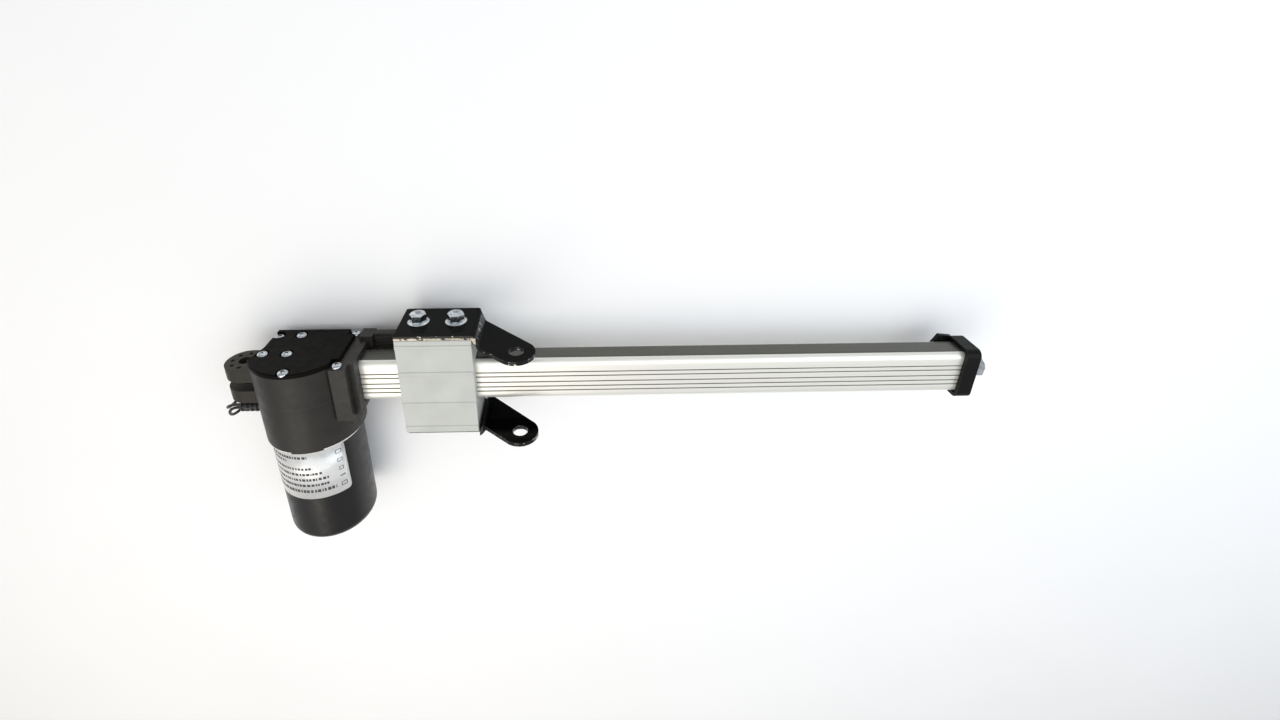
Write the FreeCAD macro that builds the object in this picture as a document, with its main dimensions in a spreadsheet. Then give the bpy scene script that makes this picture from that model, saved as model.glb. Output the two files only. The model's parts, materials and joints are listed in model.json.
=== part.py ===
"""Track linear actuator with a hanging gear motor, as a parametric assembly of separate pieces.

Frame, in millimetres: the origin is the centre of the rear clevis bore, X runs along the track towards its
far end, Y is the direction of the clevis bore and of the motor axis (the motor points to -Y), and +Z is up
as the actuator lies with its slotted back down, on the motor's end plate and the tied bundle of its leads.
"""
import FreeCAD
import Part
import math
import os
import re
import Sketcher
from FreeCAD import Placement, Rotation, Vector

DIMENSIONS = {
    # track
    "track_start": 70.0, "track_end": 484.0, "track_tall": 31.6, "track_deep": 18.6, "track_wall": 2.0,
    "track_corner": 5.0, "slot_wide": 9.0, "groove_wide": 0.8, "groove_deep": 0.6,
    "groove_a": 6.1, "groove_b": 2.9, "groove_c": -1.5, "groove_d": -5.1, "groove_e": -8.4,
    # slider block
    "slider_start": 106.0, "slider_long": 48.8, "slider_tall": 72.7, "slider_front": 17.0,
    "slider_back": -20.0, "slide_gap": 0.35, "rib_wide": 2.2, "rib_proud": 0.6,
    "rib_a": 31.2, "rib_b": 11.3, "rib_c": -12.5, "rib_d": -31.6,
    # brackets
    "plate_thick": 3.0, "ear_drop": 6.95, "ear_x": 183.6, "ear_z": 24.3, "ear_round": 12.0, "ear_hole": 5.0,
    "bend_x": 155.2, "bend_run": 2.6, "lower_plate_front": 13.2,
    "bolt_x1": 118.1, "bolt_x2": 142.7, "bolt_z": -1.5,
    # hexagon bolts and the nut on the end stud
    "bolt_r": 3.0, "bolt_flange_r": 7.1, "bolt_flange": 1.5, "bolt_hex_r": 5.6, "bolt_hex": 4.8,
    "bolt_long": 14.0, "nut_hex_r": 7.5, "nut_thick": 8.0, "stud_r": 4.0, "washer_r": 8.5,
    "washer_thick": 1.6,
    # drive nut
    "nut_start": 118.0, "nut_long": 25.0, "arm_start": 122.0, "arm_long": 17.0, "arm_wide": 8.4,
    "inner_gap": 0.4, "screw_fit": 0.06,
    # lead screw
    "screw_r": 5.0, "screw_start": 66.5, "screw_end": 456.0, "journal_r": 4.0, "journal_start": 46.0,
    "end_journal": 10.0,
    # end cap, end plug
    "cap_start": 480.0, "cap_end": 489.0, "cap_tall": 37.0, "cap_deep": 25.2, "cap_corner": 5.0,
    "tongue_x1": 469.4, "tongue_x2": 473.1, "tongue_y": 11.7, "tongue_thick": 2.7,
    "plug_start": 454.0, "end_bush_r": 6.0, "end_bush_long": 10.0, "stud_start": 470.0, "stud_end": 502.0,
    # rear clevis
    "clevis_r": 12.6, "clevis_half": 12.7, "clevis_gap": 6.6, "clevis_hole": 4.0, "clevis_slot_end": 10.5,
    "clevis_end": 20.0, "clevis_rim": 2.0, "ring_r": 8.3, "ring_hole": 1.2, "ring_deep": 3.0,
    # gearbox
    "box_x": 39.5, "box_r": 32.5, "box_left": 13.8, "box_right": 69.0, "box_back": -23.3, "box_wall": 3.0,
    "cover_top": 22.5, "cover_thick": 3.0, "seam_y": -4.0, "gear_floor": -20.0, "box_bottom": -37.9,
    "arc_left_z": 14.0, "cavity_right": 58.5, "box_rest": -31.0, "cover_edge": 0.8,
    "collar_end": 78.5, "collar_front": 17.0, "collar_top": 19.5, "collar_back": -23.3, "web_half": 9.0,
    "foot_x": 71.0, "foot_y": -31.0, "pillar_x": 64.5, "pillar_end": 75.0, "pillar_front": 23.7,
    "pillar_back": 13.0,
    "block_x": 73.0, "block_end": 82.0, "block_front": -12.0,
    # cover and housing screws
    "head_r": 3.5, "head_thick": 2.4, "head_slope": 1.2, "thread_r": 1.6, "cover_screw": 6.0,
    "housing_screw": 34.0, "motor_screw": 5.0, "cover_hole": 4.6, "recess_r": 4.2, "recess_deep": 1.4,
    "cross_long": 3.6, "cross_wide": 0.9, "cross_deep": 1.3, "motor_screw_ring": 14.4,
    # switch housing behind the track
    "guide_end": 104.5, "guide_tall": 23.2, "guide_back": -20.0, "guide_step": 13.0, "guide_wall_z": -15.0,
    # motor
    "motor_x": 38.0, "motor_z": -1.5, "can_r": 30.0, "can_wall": 1.8, "can_top": -40.0, "can_bottom": -123.0,
    "can_round": 8.0, "flange_r": 30.4, "front_boss_r": 10.0, "front_boss": 4.0,
    "magnet_in": 21.0, "magnet_top": -56.0, "magnet_bottom": -108.0, "magnet_angle": 140.0,
    "core_r": 20.0, "core_top": -62.0, "core_bottom": -102.0, "coil_r": 17.0, "coil_long": 7.0,
    "commutator_r": 8.5, "commutator_top": -45.0, "commutator_bottom": -54.5, "brush_wide": 4.0,
    "brush_long": 8.0, "holder_r": 27.5, "holder_thick": 2.5, "shaft_r": 3.0, "shaft_top": 15.5,
    "shaft_bottom": -119.0, "bush_r": 6.5, "bush_long": 6.0, "bush_fit": 0.03,
    # label
    "label_top": -42.0, "label_bottom": -81.9, "label_thick": 0.15, "label_from": 37.0,
    "label_turn": 165.0,
    # gear train
    "worm_r": 3.5, "worm_tip": 5.3, "worm_low": -12.0, "worm_high": 9.0, "worm_pitch": 3.1416,
    "thread_thick": 1.1, "gear_distance": 16.5, "wheel_teeth": 24.0, "wheel_root": 10.8, "wheel_tip": 12.75,
    "wheel_x": 36.0, "wheel_thick": 4.0, "wheel_turn": 11.7, "tooth_thick": 1.0,
    "pinion_x": 50.5, "pinion_long": 7.0, "pinion_teeth": 10.0, "pinion_root": 3.9, "pinion_tip": 5.8,
    "spur_teeth": 20.0, "spur_root": 8.9, "spur_tip": 10.8, "spur_x": 51.0, "spur_thick": 6.0,
    "spur_turn": 9.0,
    "counter_start": 25.0, "counter_end": 65.0, "counter_r": 2.5, "counter_bush_r": 3.5, "counter_bush": 4.0,
    # bearing of the lead screw
    "bearing_x": 59.0, "bearing_long": 7.0, "bearing_r": 11.0, "race_in": 6.0, "race_out": 9.0,
    "ball_fit": 0.02,
    # strain relief and leads
    "relief_y": -20.6, "relief_z": 5.0, "relief_out": -7.5, "relief_in": 12.0, "relief_rib": 3.7,
    "relief_neck": 2.8, "relief_pitch": 3.4, "wire_r": 1.0, "floor_z": -31.9,
    "hank_start": 92.0, "hank_long": 44.0, "hank_wide": 16.0, "hank_round": 3.0, "hank_high": 8.3,
    "hank_y": -6.0, "tie_thick": 0.8,
    "connector_long": 20.0, "connector_wide": 10.0, "connector_high": 9.2,
}

document = FreeCAD.newDocument("linear_actuator")
sheet = document.addObject("Spreadsheet::Sheet", "Dims")
for row, (name, value) in enumerate(DIMENSIONS.items(), start=1):
    sheet.set(f"A{row}", name)
    sheet.set(f"B{row}", str(value))
    sheet.setAlias(f"B{row}", name)
document.recompute()

SUBPARTS = []
WORD = re.compile(r"[a-z][a-z_0-9]*")
TURNS = {"x": Rotation(Vector(0, 1, 0), 90), "y": Rotation(Vector(1, 0, 0), -90), "z": Rotation()}
PLACES = {"x": ("x", "y", "z"), "y": ("y", "x", "z"), "z": ("z", "x", "y")}
PLANES = {"x": "YZ_Plane", "y": "XZ_Plane", "z": "XY_Plane"}


def formula(text):
    """The text with each dimension's name turned into a reference to the sheet."""
    def swap(match):
        return f"Dims.{match.group(0)}" if match.group(0) in DIMENSIONS else match.group(0)
    return WORD.sub(swap, str(text))


def size(text):
    """The value of a formula, for first guesses and for shapes that are made directly."""
    return float(sheet.evalExpression(formula(text)))


def bind(target, name, text):
    target.setExpression(name, formula(text))


def add(kind, name):
    return document.addObject(kind, name)


def subpart(label, source):
    """Gives a finished object the label that names its node and file."""
    source.Label = label
    SUBPARTS.append(source)
    return source


# ---- primitives and booleans -------------------------------------------------------------------------

def block(name, x, y, z):
    """A box between two formulas along each axis."""
    box = add("Part::Box", name)
    for side, place, (low, high) in zip(("Length", "Width", "Height"), "xyz", (x, y, z)):
        bind(box, side, f"({high}) - ({low})")
        bind(box, f"Placement.Base.{place}", low)
    return box


def rod(name, axis, radius, start, end, first=0, second=0):
    """A cylinder along an axis from start to end; first and second place it across that axis."""
    cylinder = add("Part::Cylinder", name)
    cylinder.Placement = Placement(Vector(), TURNS[axis])
    bind(cylinder, "Radius", radius)
    bind(cylinder, "Height", f"({end}) - ({start})")
    for place, text in zip(PLACES[axis], (start, first, second)):
        bind(cylinder, f"Placement.Base.{place}", text)
    return cylinder


def hexagon(name, axis, radius, start, end, first=0, second=0):
    """A hexagonal prism along an axis, radius to its corners."""
    prism = add("Part::Prism", name)
    prism.Polygon = 6
    prism.Placement = Placement(Vector(), TURNS[axis])
    bind(prism, "Circumradius", radius)
    bind(prism, "Height", f"({end}) - ({start})")
    for place, text in zip(PLACES[axis], (start, first, second)):
        bind(prism, f"Placement.Base.{place}", text)
    return prism


def ball(name, radius, x, y, z):
    sphere = add("Part::Sphere", name)
    bind(sphere, "Radius", radius)
    for place, text in zip("xyz", (x, y, z)):
        bind(sphere, f"Placement.Base.{place}", text)
    return sphere


def fuse(name, shapes):
    union = add("Part::MultiFuse", name)
    union.Shapes = shapes
    return union


def cut(name, base, tools):
    """The base less one or more tools."""
    result = add("Part::Cut", name)
    result.Base = base
    result.Tool = tools[0] if len(tools) == 1 else fuse(name + "_tools", tools)
    return result


def common(name, shapes):
    overlap = add("Part::MultiCommon", name)
    overlap.Shapes = shapes
    return overlap


def tube(name, axis, outer, inner, start, end, first=0, second=0):
    """A ring or sleeve along an axis."""
    body = rod(name + "_outside", axis, outer, start, end, first, second)
    hole = rod(name + "_hole", axis, inner, f"({start}) - 1", f"({end}) + 1", first, second)
    return cut(name, body, [hole])


# ---- part design bodies ------------------------------------------------------------------------------

def new_body(name):
    return add("PartDesign::Body", name)


def new_sketch(body, name, axis, offset=0):
    """A sketch on the body's own origin plane across an axis, moved along that axis by a formula."""
    sketch = body.newObject("Sketcher::SketchObject", name)
    plane = [item for item in body.Origin.OriginFeatures if item.Role == PLANES[axis]][0]
    sketch.AttachmentSupport = [(plane, "")]
    sketch.MapMode = "FlatFace"
    bind(sketch, "AttachmentOffset.Base.z", f"-({offset})" if axis == "y" else offset)
    return sketch


def pin_point(sketch, line, end, across, up):
    """Ties one end of a line, or a circle's centre, to two formulas measured from the origin."""
    for kind, text in (("DistanceX", across), ("DistanceY", up)):
        index = sketch.addConstraint(Sketcher.Constraint(kind, line, end, size(text)))
        bind(sketch, f"Constraints[{index}]", text)


def polygon(sketch, corners):
    """A closed outline through corners, each a pair of formulas."""
    points = [Vector(size(across), size(up), 0) for across, up in corners]
    lines = [sketch.addGeometry(Part.LineSegment(point, points[(number + 1) % len(points)]), False)
             for number, point in enumerate(points)]
    for number, line in enumerate(lines):
        following = lines[(number + 1) % len(lines)]
        sketch.addConstraint(Sketcher.Constraint("Coincident", line, 2, following, 1))
    for line, (across, up) in zip(lines, corners):
        pin_point(sketch, line, 1, across, up)


def rectangle(sketch, across, up):
    polygon(sketch, [(across[0], up[0]), (across[1], up[0]), (across[1], up[1]), (across[0], up[1])])


def circle(sketch, radius, across=0, up=0):
    centre = Vector(size(across), size(up), 0)
    ring = sketch.addGeometry(Part.Circle(centre, Vector(0, 0, 1), size(radius)), False)
    index = sketch.addConstraint(Sketcher.Constraint("Radius", ring, size(radius)))
    bind(sketch, f"Constraints[{index}]", radius)
    pin_point(sketch, ring, 3, across, up)


def pad(body, name, sketch, length, reverse=False):
    feature = body.newObject("PartDesign::Pad", name)
    feature.Profile = sketch
    bind(feature, "Length", length)
    feature.Reversed = reverse
    body.Tip = feature
    document.recompute()
    return feature


def pocket(body, name, sketch, length, reverse=False):
    """Cuts a sketch into the body, and stops the build if nothing was cut."""
    before = body.Shape.Volume
    feature = body.newObject("PartDesign::Pocket", name)
    feature.Profile = sketch
    feature.Type = "Length"
    bind(feature, "Length", length)
    feature.Reversed = reverse
    body.Tip = feature
    document.recompute()
    if before - feature.Shape.Volume < 1e-3:
        raise ValueError(f"{name} cuts nothing")
    return feature


def revolve(body, name, sketch, axis_name):
    """A full turn of a sketch about one of the body's own axes."""
    feature = body.newObject("PartDesign::Revolution", name)
    feature.Profile = sketch
    axis = [item for item in body.Origin.OriginFeatures if item.Role == axis_name][0]
    feature.ReferenceAxis = (axis, [""])
    feature.Angle = 360
    body.Tip = feature
    document.recompute()
    return feature


def edge_names(shape, test):
    return [f"Edge{number}" for number, edge in enumerate(shape.Edges, start=1) if test(edge)]


def dress(body, kind, name, base, radius, test):
    """A fillet or chamfer on the edges of a feature that pass a test."""
    names = edge_names(base.Shape, test)
    if not names:
        raise ValueError(f"{name} finds no edges")
    feature = body.newObject(f"PartDesign::{kind}", name)
    feature.Base = (base, names)
    bind(feature, "Radius" if kind == "Fillet" else "Size", radius)
    body.Tip = feature
    document.recompute()
    return feature


def runs_along(axis, low_length=0.0):
    """A test for straight edges along an axis that are longer than a length."""
    direction = {"x": Vector(1, 0, 0), "y": Vector(0, 1, 0), "z": Vector(0, 0, 1)}[axis]

    def test(edge):
        if not isinstance(edge.Curve, (Part.Line, Part.LineSegment)) or edge.Length < low_length:
            return False
        return abs(edge.tangentAt(edge.FirstParameter).dot(direction)) > 0.999
    return test


# ---- track and what slides on it ---------------------------------------------------------------------

def make_track():
    """The aluminium channel: rounded outside, grooved front, open slot along its back."""
    body = new_body("Track")
    outline = new_sketch(body, "TrackOutline", "x", "track_start")
    rectangle(outline, ("-track_tall / 2", "track_tall / 2"), ("-track_deep / 2", "track_deep / 2"))
    bar = pad(body, "TrackBar", outline, "track_end - track_start")
    dress(body, "Fillet", "TrackCorners", bar, "track_corner", runs_along("x"))
    bore = new_sketch(body, "TrackBore", "x", "track_start")
    half_tall = "track_tall / 2 - track_wall"
    half_deep = "track_deep / 2 - track_wall"
    polygon(bore, [
        ("slot_wide / 2", "-track_deep / 2 - 1"), ("slot_wide / 2", f"-({half_deep})"),
        (half_tall, f"-({half_deep})"), (half_tall, half_deep),
        (f"-({half_tall})", half_deep), (f"-({half_tall})", f"-({half_deep})"),
        ("-slot_wide / 2", f"-({half_deep})"), ("-slot_wide / 2", "-track_deep / 2 - 1")])
    pocket(body, "TrackHollow", bore, "track_end - track_start", reverse=True)
    grooves = new_sketch(body, "TrackGrooves", "x", "track_start")
    for groove in ("groove_a", "groove_b", "groove_c", "groove_d", "groove_e"):
        rectangle(grooves, (f"{groove} - groove_wide / 2", f"{groove} + groove_wide / 2"),
                  ("track_deep / 2 - groove_deep", "track_deep / 2 + 1"))
    pocket(body, "TrackGroove", grooves, "track_end - track_start", reverse=True)
    subpart("track", body)


def make_slider():
    """The plastic block round the track, with four ribs on its front and a pocket for the nut's arm."""
    body = new_body("Slider")
    outline = new_sketch(body, "SliderOutline", "x", "slider_start")
    rectangle(outline, ("-slider_tall / 2", "slider_tall / 2"), ("slider_back", "slider_front"))
    bar = pad(body, "SliderBar", outline, "slider_long")
    dress(body, "Fillet", "SliderEdges", bar, "1.2", runs_along("x"))
    ribs = new_sketch(body, "SliderRibs", "x", "slider_start")
    for rib in ("rib_a", "rib_b", "rib_c", "rib_d"):
        rectangle(ribs, (f"{rib} - rib_wide / 2", f"{rib} + rib_wide / 2"),
                  ("slider_front - 1", "slider_front + rib_proud"))
    pad(body, "SliderRib", ribs, "slider_long")
    channel = new_sketch(body, "SliderChannel", "x", "slider_start")
    rectangle(channel, ("-track_tall / 2 - slide_gap", "track_tall / 2 + slide_gap"),
              ("-track_deep / 2 - slide_gap", "track_deep / 2 + slide_gap"))
    pocket(body, "SliderWay", channel, "slider_long", reverse=True)
    arm = new_sketch(body, "SliderArm", "x", "arm_start - 0.1")
    rectangle(arm, ("-arm_wide / 2 - 0.1", "arm_wide / 2 + 0.1"), ("slider_back - 1", "-track_deep / 2"))
    pocket(body, "SliderArmWay", arm, "arm_long + 0.2", reverse=True)
    holes = [rod(f"SliderHole{number}", "y", "bolt_r + 0.05", low, high, place, "bolt_z")
             for number, (place, low, high) in enumerate((
                 ("bolt_x1", "slider_tall / 2 - bolt_long", "slider_tall / 2 + 1"),
                 ("bolt_x2", "slider_tall / 2 - bolt_long", "slider_tall / 2 + 1"),
                 ("bolt_x1", "-slider_tall / 2 - 1", "-slider_tall / 2 + bolt_long"),
                 ("bolt_x2", "-slider_tall / 2 - 1", "-slider_tall / 2 + bolt_long")))]
    subpart("slider_block", cut("SliderBlock", body, holes))


def make_drive_nut():
    """The nut inside the track, with an arm out through the slot into the slider block."""
    half_tall = "track_tall / 2 - track_wall - inner_gap"
    half_deep = "track_deep / 2 - track_wall - inner_gap"
    nut = block("NutBlock", ("nut_start", "nut_start + nut_long"),
                (f"-({half_tall})", half_tall), (f"-({half_deep})", half_deep))
    arm = block("NutArm", ("arm_start", "arm_start + arm_long"),
                ("-arm_wide / 2", "arm_wide / 2"), ("slider_back", f"-({half_deep}) + 1"))
    bore = rod("NutBore", "x", "screw_r + screw_fit", "nut_start - 1", "nut_start + nut_long + 1")
    subpart("drive_nut", cut("DriveNut", fuse("NutSolid", [nut, arm]), [bore]))


def ear_plan(sketch):
    """Seen along Y: the plate over the slider block and the ear that narrows to a rounded tip."""
    centre = Vector(size("ear_x"), size("ear_z"), 0)
    radius = size("ear_round")
    root_low = Vector(size("bend_x + 1.4"), size("slider_back + 2"), 0)
    root_high = Vector(size("bend_x + 2.4"), size("slider_front + 0.6"), 0)

    def touch(root, side):
        away = root - centre
        turn = math.acos(radius / away.Length) * side
        return centre + Rotation(Vector(0, 0, 1), math.degrees(turn)).multVec(away) * (radius / away.Length)

    low_touch = touch(root_low, 1)
    high_touch = touch(root_high, -1)
    corners = [Vector(size("slider_start"), size("slider_back"), 0),
               Vector(root_low.x, size("slider_back"), 0), root_low, low_touch]
    for first, second in zip(corners, corners[1:]):
        sketch.addGeometry(Part.LineSegment(first, second), False)
    tip = centre + (centre - (root_low + root_high) * 0.5).normalize() * radius
    sketch.addGeometry(Part.Arc(low_touch, tip, high_touch), False)
    corners = [high_touch, root_high, Vector(root_high.x, size("slider_front"), 0),
               Vector(size("slider_start"), size("slider_front"), 0), corners[0]]
    for first, second in zip(corners, corners[1:]):
        sketch.addGeometry(Part.LineSegment(first, second), False)
    last = sketch.GeometryCount
    for number in range(last):
        sketch.addConstraint(Sketcher.Constraint("Coincident", number, 2, (number + 1) % last, 1))
    pin_point(sketch, 0, 1, "slider_start", "slider_back")
    pin_point(sketch, 2, 1, "bend_x + 1.4", "slider_back + 2")
    pin_point(sketch, 3, 3, "ear_x", "ear_z")
    pin_point(sketch, 5, 1, "bend_x + 2.4", "slider_front + 0.6")
    pin_point(sketch, 7, 1, "slider_start", "slider_front")
    index = sketch.addConstraint(Sketcher.Constraint("Radius", 3, radius))
    bind(sketch, f"Constraints[{index}]", "ear_round")


def make_bracket(label, side):
    """A joggled steel plate; side is 1 on the block's +Y face and -1 on its -Y face.

    The lower plate stops short of the block's front, so the block's edge hides it.
    """
    name = "Upper" if side > 0 else "Lower"
    profile = add("Sketcher::SketchObject", f"{name}BracketProfile")
    bind(profile, "Placement.Base.z", "slider_back - 1")
    inner = f"{side} * slider_tall / 2"
    outer = f"{side} * (slider_tall / 2 + plate_thick)"
    ear_in = f"{side} * (slider_tall / 2 - ear_drop)"
    ear_out = f"{side} * (slider_tall / 2 - ear_drop + plate_thick)"
    polygon(profile, [
        ("slider_start", outer), ("bend_x + 1.3", outer), ("bend_x + bend_run + 2.2", ear_out),
        ("ear_x + ear_round + 1", ear_out), ("ear_x + ear_round + 1", ear_in), ("bend_x + bend_run", ear_in),
        ("bend_x", inner), ("slider_start", inner)])
    strip = add("Part::Extrusion", f"{name}BracketStrip")
    strip.Base = profile
    strip.Dir = Vector(0, 0, 1)
    strip.Solid = True
    bind(strip, "LengthFwd", "ear_z + ear_round - slider_back + 2")
    plan = add("Sketcher::SketchObject", f"{name}BracketPlan")
    plan.Placement = Placement(Vector(0, -60, 0), Rotation(Vector(1, 0, 0), 90))
    ear_plan(plan)
    prism = add("Part::Extrusion", f"{name}BracketPrism")
    prism.Base = plan
    prism.Dir = Vector(0, 1, 0)
    prism.Solid = True
    prism.LengthFwd = 120
    shape = common(f"{name}BracketShape", [strip, prism])
    holes = [rod(f"{name}BracketHole{place}", "y", "bolt_r + 0.3", -60, 60, f"bolt_x{place}", "bolt_z")
             for place in (1, 2)]
    holes.append(rod(f"{name}BracketEarHole", "y", "ear_hole", -60, 60, "ear_x", "ear_z"))
    if side < 0:
        holes.append(block(f"{name}BracketSetBack", ("slider_start - 1", "bend_x"), (-60, -30),
                           ("lower_plate_front", "ear_z")))
    subpart(label, cut(f"{name}Bracket", shape, holes))


def hex_bolt(name, place, side):
    """A hexagon flange bolt through a bracket into the slider block, along Y."""
    face = "(slider_tall / 2 + plate_thick)"
    spans = {
        "Shank": ("slider_tall / 2 - bolt_long + 0.5", face),
        "Flange": (face, f"{face} + bolt_flange"),
        "Hex": (f"{face} + bolt_flange", f"{face} + bolt_flange + bolt_hex")}
    pieces = []
    for part_name, (low, high) in spans.items():
        start, end = (low, high) if side > 0 else (f"-({high})", f"-({low})")
        maker = hexagon if part_name == "Hex" else rod
        radius = {"Shank": "bolt_r", "Flange": "bolt_flange_r", "Hex": "bolt_hex_r"}[part_name]
        pieces.append(maker(name + part_name, "y", radius, start, end, place, "bolt_z"))
    return fuse(name, pieces)


def make_bracket_bolts():
    for label, side in (("upper_bracket_bolts", 1), ("lower_bracket_bolts", -1)):
        pair = [hex_bolt(f"{label}_{number}".title().replace("_", ""), f"bolt_x{number}", side)
                for number in (1, 2)]
        group = add("Part::Compound", label.title().replace("_", ""))
        group.Links = pair
        subpart(label, group)


# ---- gearbox -----------------------------------------------------------------------------------------

def box_outline(name, top, height):
    """The gearbox seen along Y: round front about the motor, straight left, right and back, padded down."""
    body = new_body(name)
    sketch = new_sketch(body, name + "Outline", "y", top)
    reach = math.sqrt(size("box_r") ** 2 - size("box_right - box_x") ** 2)
    left_reach = math.sqrt(size("box_r") ** 2 - size("arc_left_z") ** 2)
    front = [Vector(size("box_x") - left_reach, size("arc_left_z"), 0),
             Vector(size("box_x"), size("box_r"), 0), Vector(size("box_right"), reach, 0)]
    corners = [front[2], Vector(size("box_right"), size("box_back"), 0),
               Vector(size("box_left"), size("box_back"), 0), Vector(size("box_left"), 0, 0), front[0]]
    sketch.addGeometry(Part.Arc(*front), False)
    for first, second in zip(corners, corners[1:]):
        sketch.addGeometry(Part.LineSegment(first, second), False)
    sketch.addConstraint(Sketcher.Constraint("Coincident", 0, 1, 1, 1))
    for number in range(1, 4):
        sketch.addConstraint(Sketcher.Constraint("Coincident", number, 2, number + 1, 1))
    sketch.addConstraint(Sketcher.Constraint("Coincident", 4, 2, 0, 2))
    pin_point(sketch, 0, 3, "box_x", 0)
    index = sketch.addConstraint(Sketcher.Constraint("Radius", 0, size("box_r")))
    bind(sketch, f"Constraints[{index}]", "box_r")
    pin_point(sketch, 1, 2, "box_right", "box_back")
    pin_point(sketch, 2, 2, "box_left", "box_back")
    pin_point(sketch, 3, 2, "box_left", 0)
    index = sketch.addConstraint(Sketcher.Constraint("DistanceX", 1, 1, size("box_right")))
    bind(sketch, f"Constraints[{index}]", "box_right")
    index = sketch.addConstraint(Sketcher.Constraint("DistanceY", 4, 2, size("arc_left_z")))
    bind(sketch, f"Constraints[{index}]", "arc_left_z")
    return body, pad(body, name + "Pad", sketch, height)


def make_foot():
    """The gusset under the collar that runs down towards the motor."""
    body = new_body("BoxFoot")
    sketch = new_sketch(body, "BoxFootOutline", "z", "-collar_front")
    polygon(sketch, [("box_x", "gear_floor"), ("collar_end", "gear_floor"), ("foot_x", "foot_y"),
                     ("box_x", "foot_y")])
    pad(body, "BoxFootPad", sketch, "2 * collar_front - 4")
    return body


HOUSING_SCREWS = (("A", 17.6, -16.4), ("F", 68.9, 19.3), ("G", 68.4, -20.2))
COVER_SCREWS = (("B", 32.9, -15.6), ("C", 16.9, 7.5), ("D", 32.8, 7.7), ("E", 39.6, 29.0))


def housing_tools():
    """Everything that is cut from the solid gearbox: cavity, seats, passages and screw holes."""
    deck = "cover_top - cover_thick"
    counter_z = "motor_z + gear_distance"
    cavity = common("Cavity", [
        rod("CavityRound", "y", "box_r - box_wall", "box_bottom + box_wall", deck, "box_x", 0),
        block("CavityBox", ("clevis_end", "cavity_right"), ("box_bottom", "cover_top"),
              ("box_back + box_wall", "box_r"))])
    webs = [
        block("WebCounter", ("counter_start - 2", "counter_start + counter_bush + 1"),
              ("-web_half", "web_half"), (f"{counter_z} - 8", "box_r")),
        block("WebScrew", ("journal_start - 1", "journal_start + 4"), ("-web_half", "web_half"),
              ("box_back", "web_half")),
        block("WebWorm", ("motor_x - 8.5", "motor_x + 7.5"), ("shaft_top - 5", deck), ("box_back", 6)),
        rod("WebCoverD", "y", 4.0, "shaft_top - 2", deck, 32.8, 7.7),
        rod("WebCoverE", "y", 3.6, "shaft_top - 2", deck, 39.6, 29.0)]
    hollow = cut("Hollow", cavity, webs)
    seats = [
        hollow,
        rod("SeatBearing", "x", "bearing_r + 0.02", "cavity_right - 0.1", "bearing_x + bearing_long"),
        rod("SeatPassage", "x", "screw_r + 1.5", "cavity_right", "track_start + 1"),
        block("SeatTrack", ("track_start", "collar_end + 1"),
              ("-track_tall / 2 - 0.05", "track_tall / 2 + 0.05"),
              ("-track_deep / 2 - 0.05", "track_deep / 2 + 0.05")),
        rod("SeatCounterLow", "x", "counter_bush_r + 0.02", "counter_start", "counter_start + 6",
            0, counter_z),
        rod("SeatCounterHigh", "x", "counter_bush_r + 0.02", "cavity_right - 0.1", "counter_end",
            0, counter_z),
        rod("SeatScrewBush", "x", "bush_r + 0.02", "journal_start - 2", "journal_start + 5"),
        rod("SeatWormBush", "y", "bush_r + 0.02", "shaft_top - 6", "shaft_top + 1", "motor_x", "motor_z"),
        rod("SeatMotorBoss", "y", "front_boss_r + 0.1", "box_bottom - 1", "box_bottom + box_wall + 1",
            "motor_x", "motor_z"),
        block("SeatClevis", ("-clevis_r", "clevis_end + 0.1"), ("-clevis_half - 0.1", "clevis_half + 0.1"),
              ("-clevis_r - 0.1", "clevis_r + 0.1")),
        block("SeatClevisRim", ("clevis_end - 4.1", "clevis_end + 0.1"),
              ("-clevis_half - clevis_rim - 0.1", "clevis_half + clevis_rim + 0.1"),
              ("-clevis_r - 0.1", "clevis_r + 0.1")),
        rod("SeatRelief", "x", "relief_neck + 0.1", "-10", "relief_in + 4", "relief_y", "relief_z")]
    for name, across, up in HOUSING_SCREWS:
        bottom = f"{deck} - housing_screw - 1"
        seats.append(rod(f"SeatScrew{name}", "y", "thread_r + 0.05", bottom, deck, across, up))
    for name, across, up in COVER_SCREWS:
        bottom = f"{deck} - cover_hole"
        seats.append(rod(f"SeatScrew{name}", "y", "thread_r + 0.05", bottom, deck, across, up))
    for number, turn in enumerate((0, 180)):
        across = f"motor_x + motor_screw_ring * cos({turn})"
        seats.append(rod(f"SeatMotorScrew{number}", "y", "thread_r + 0.2", "box_bottom - 1",
                         "box_bottom + box_wall + 1", across, "motor_z"))
    return seats


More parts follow.
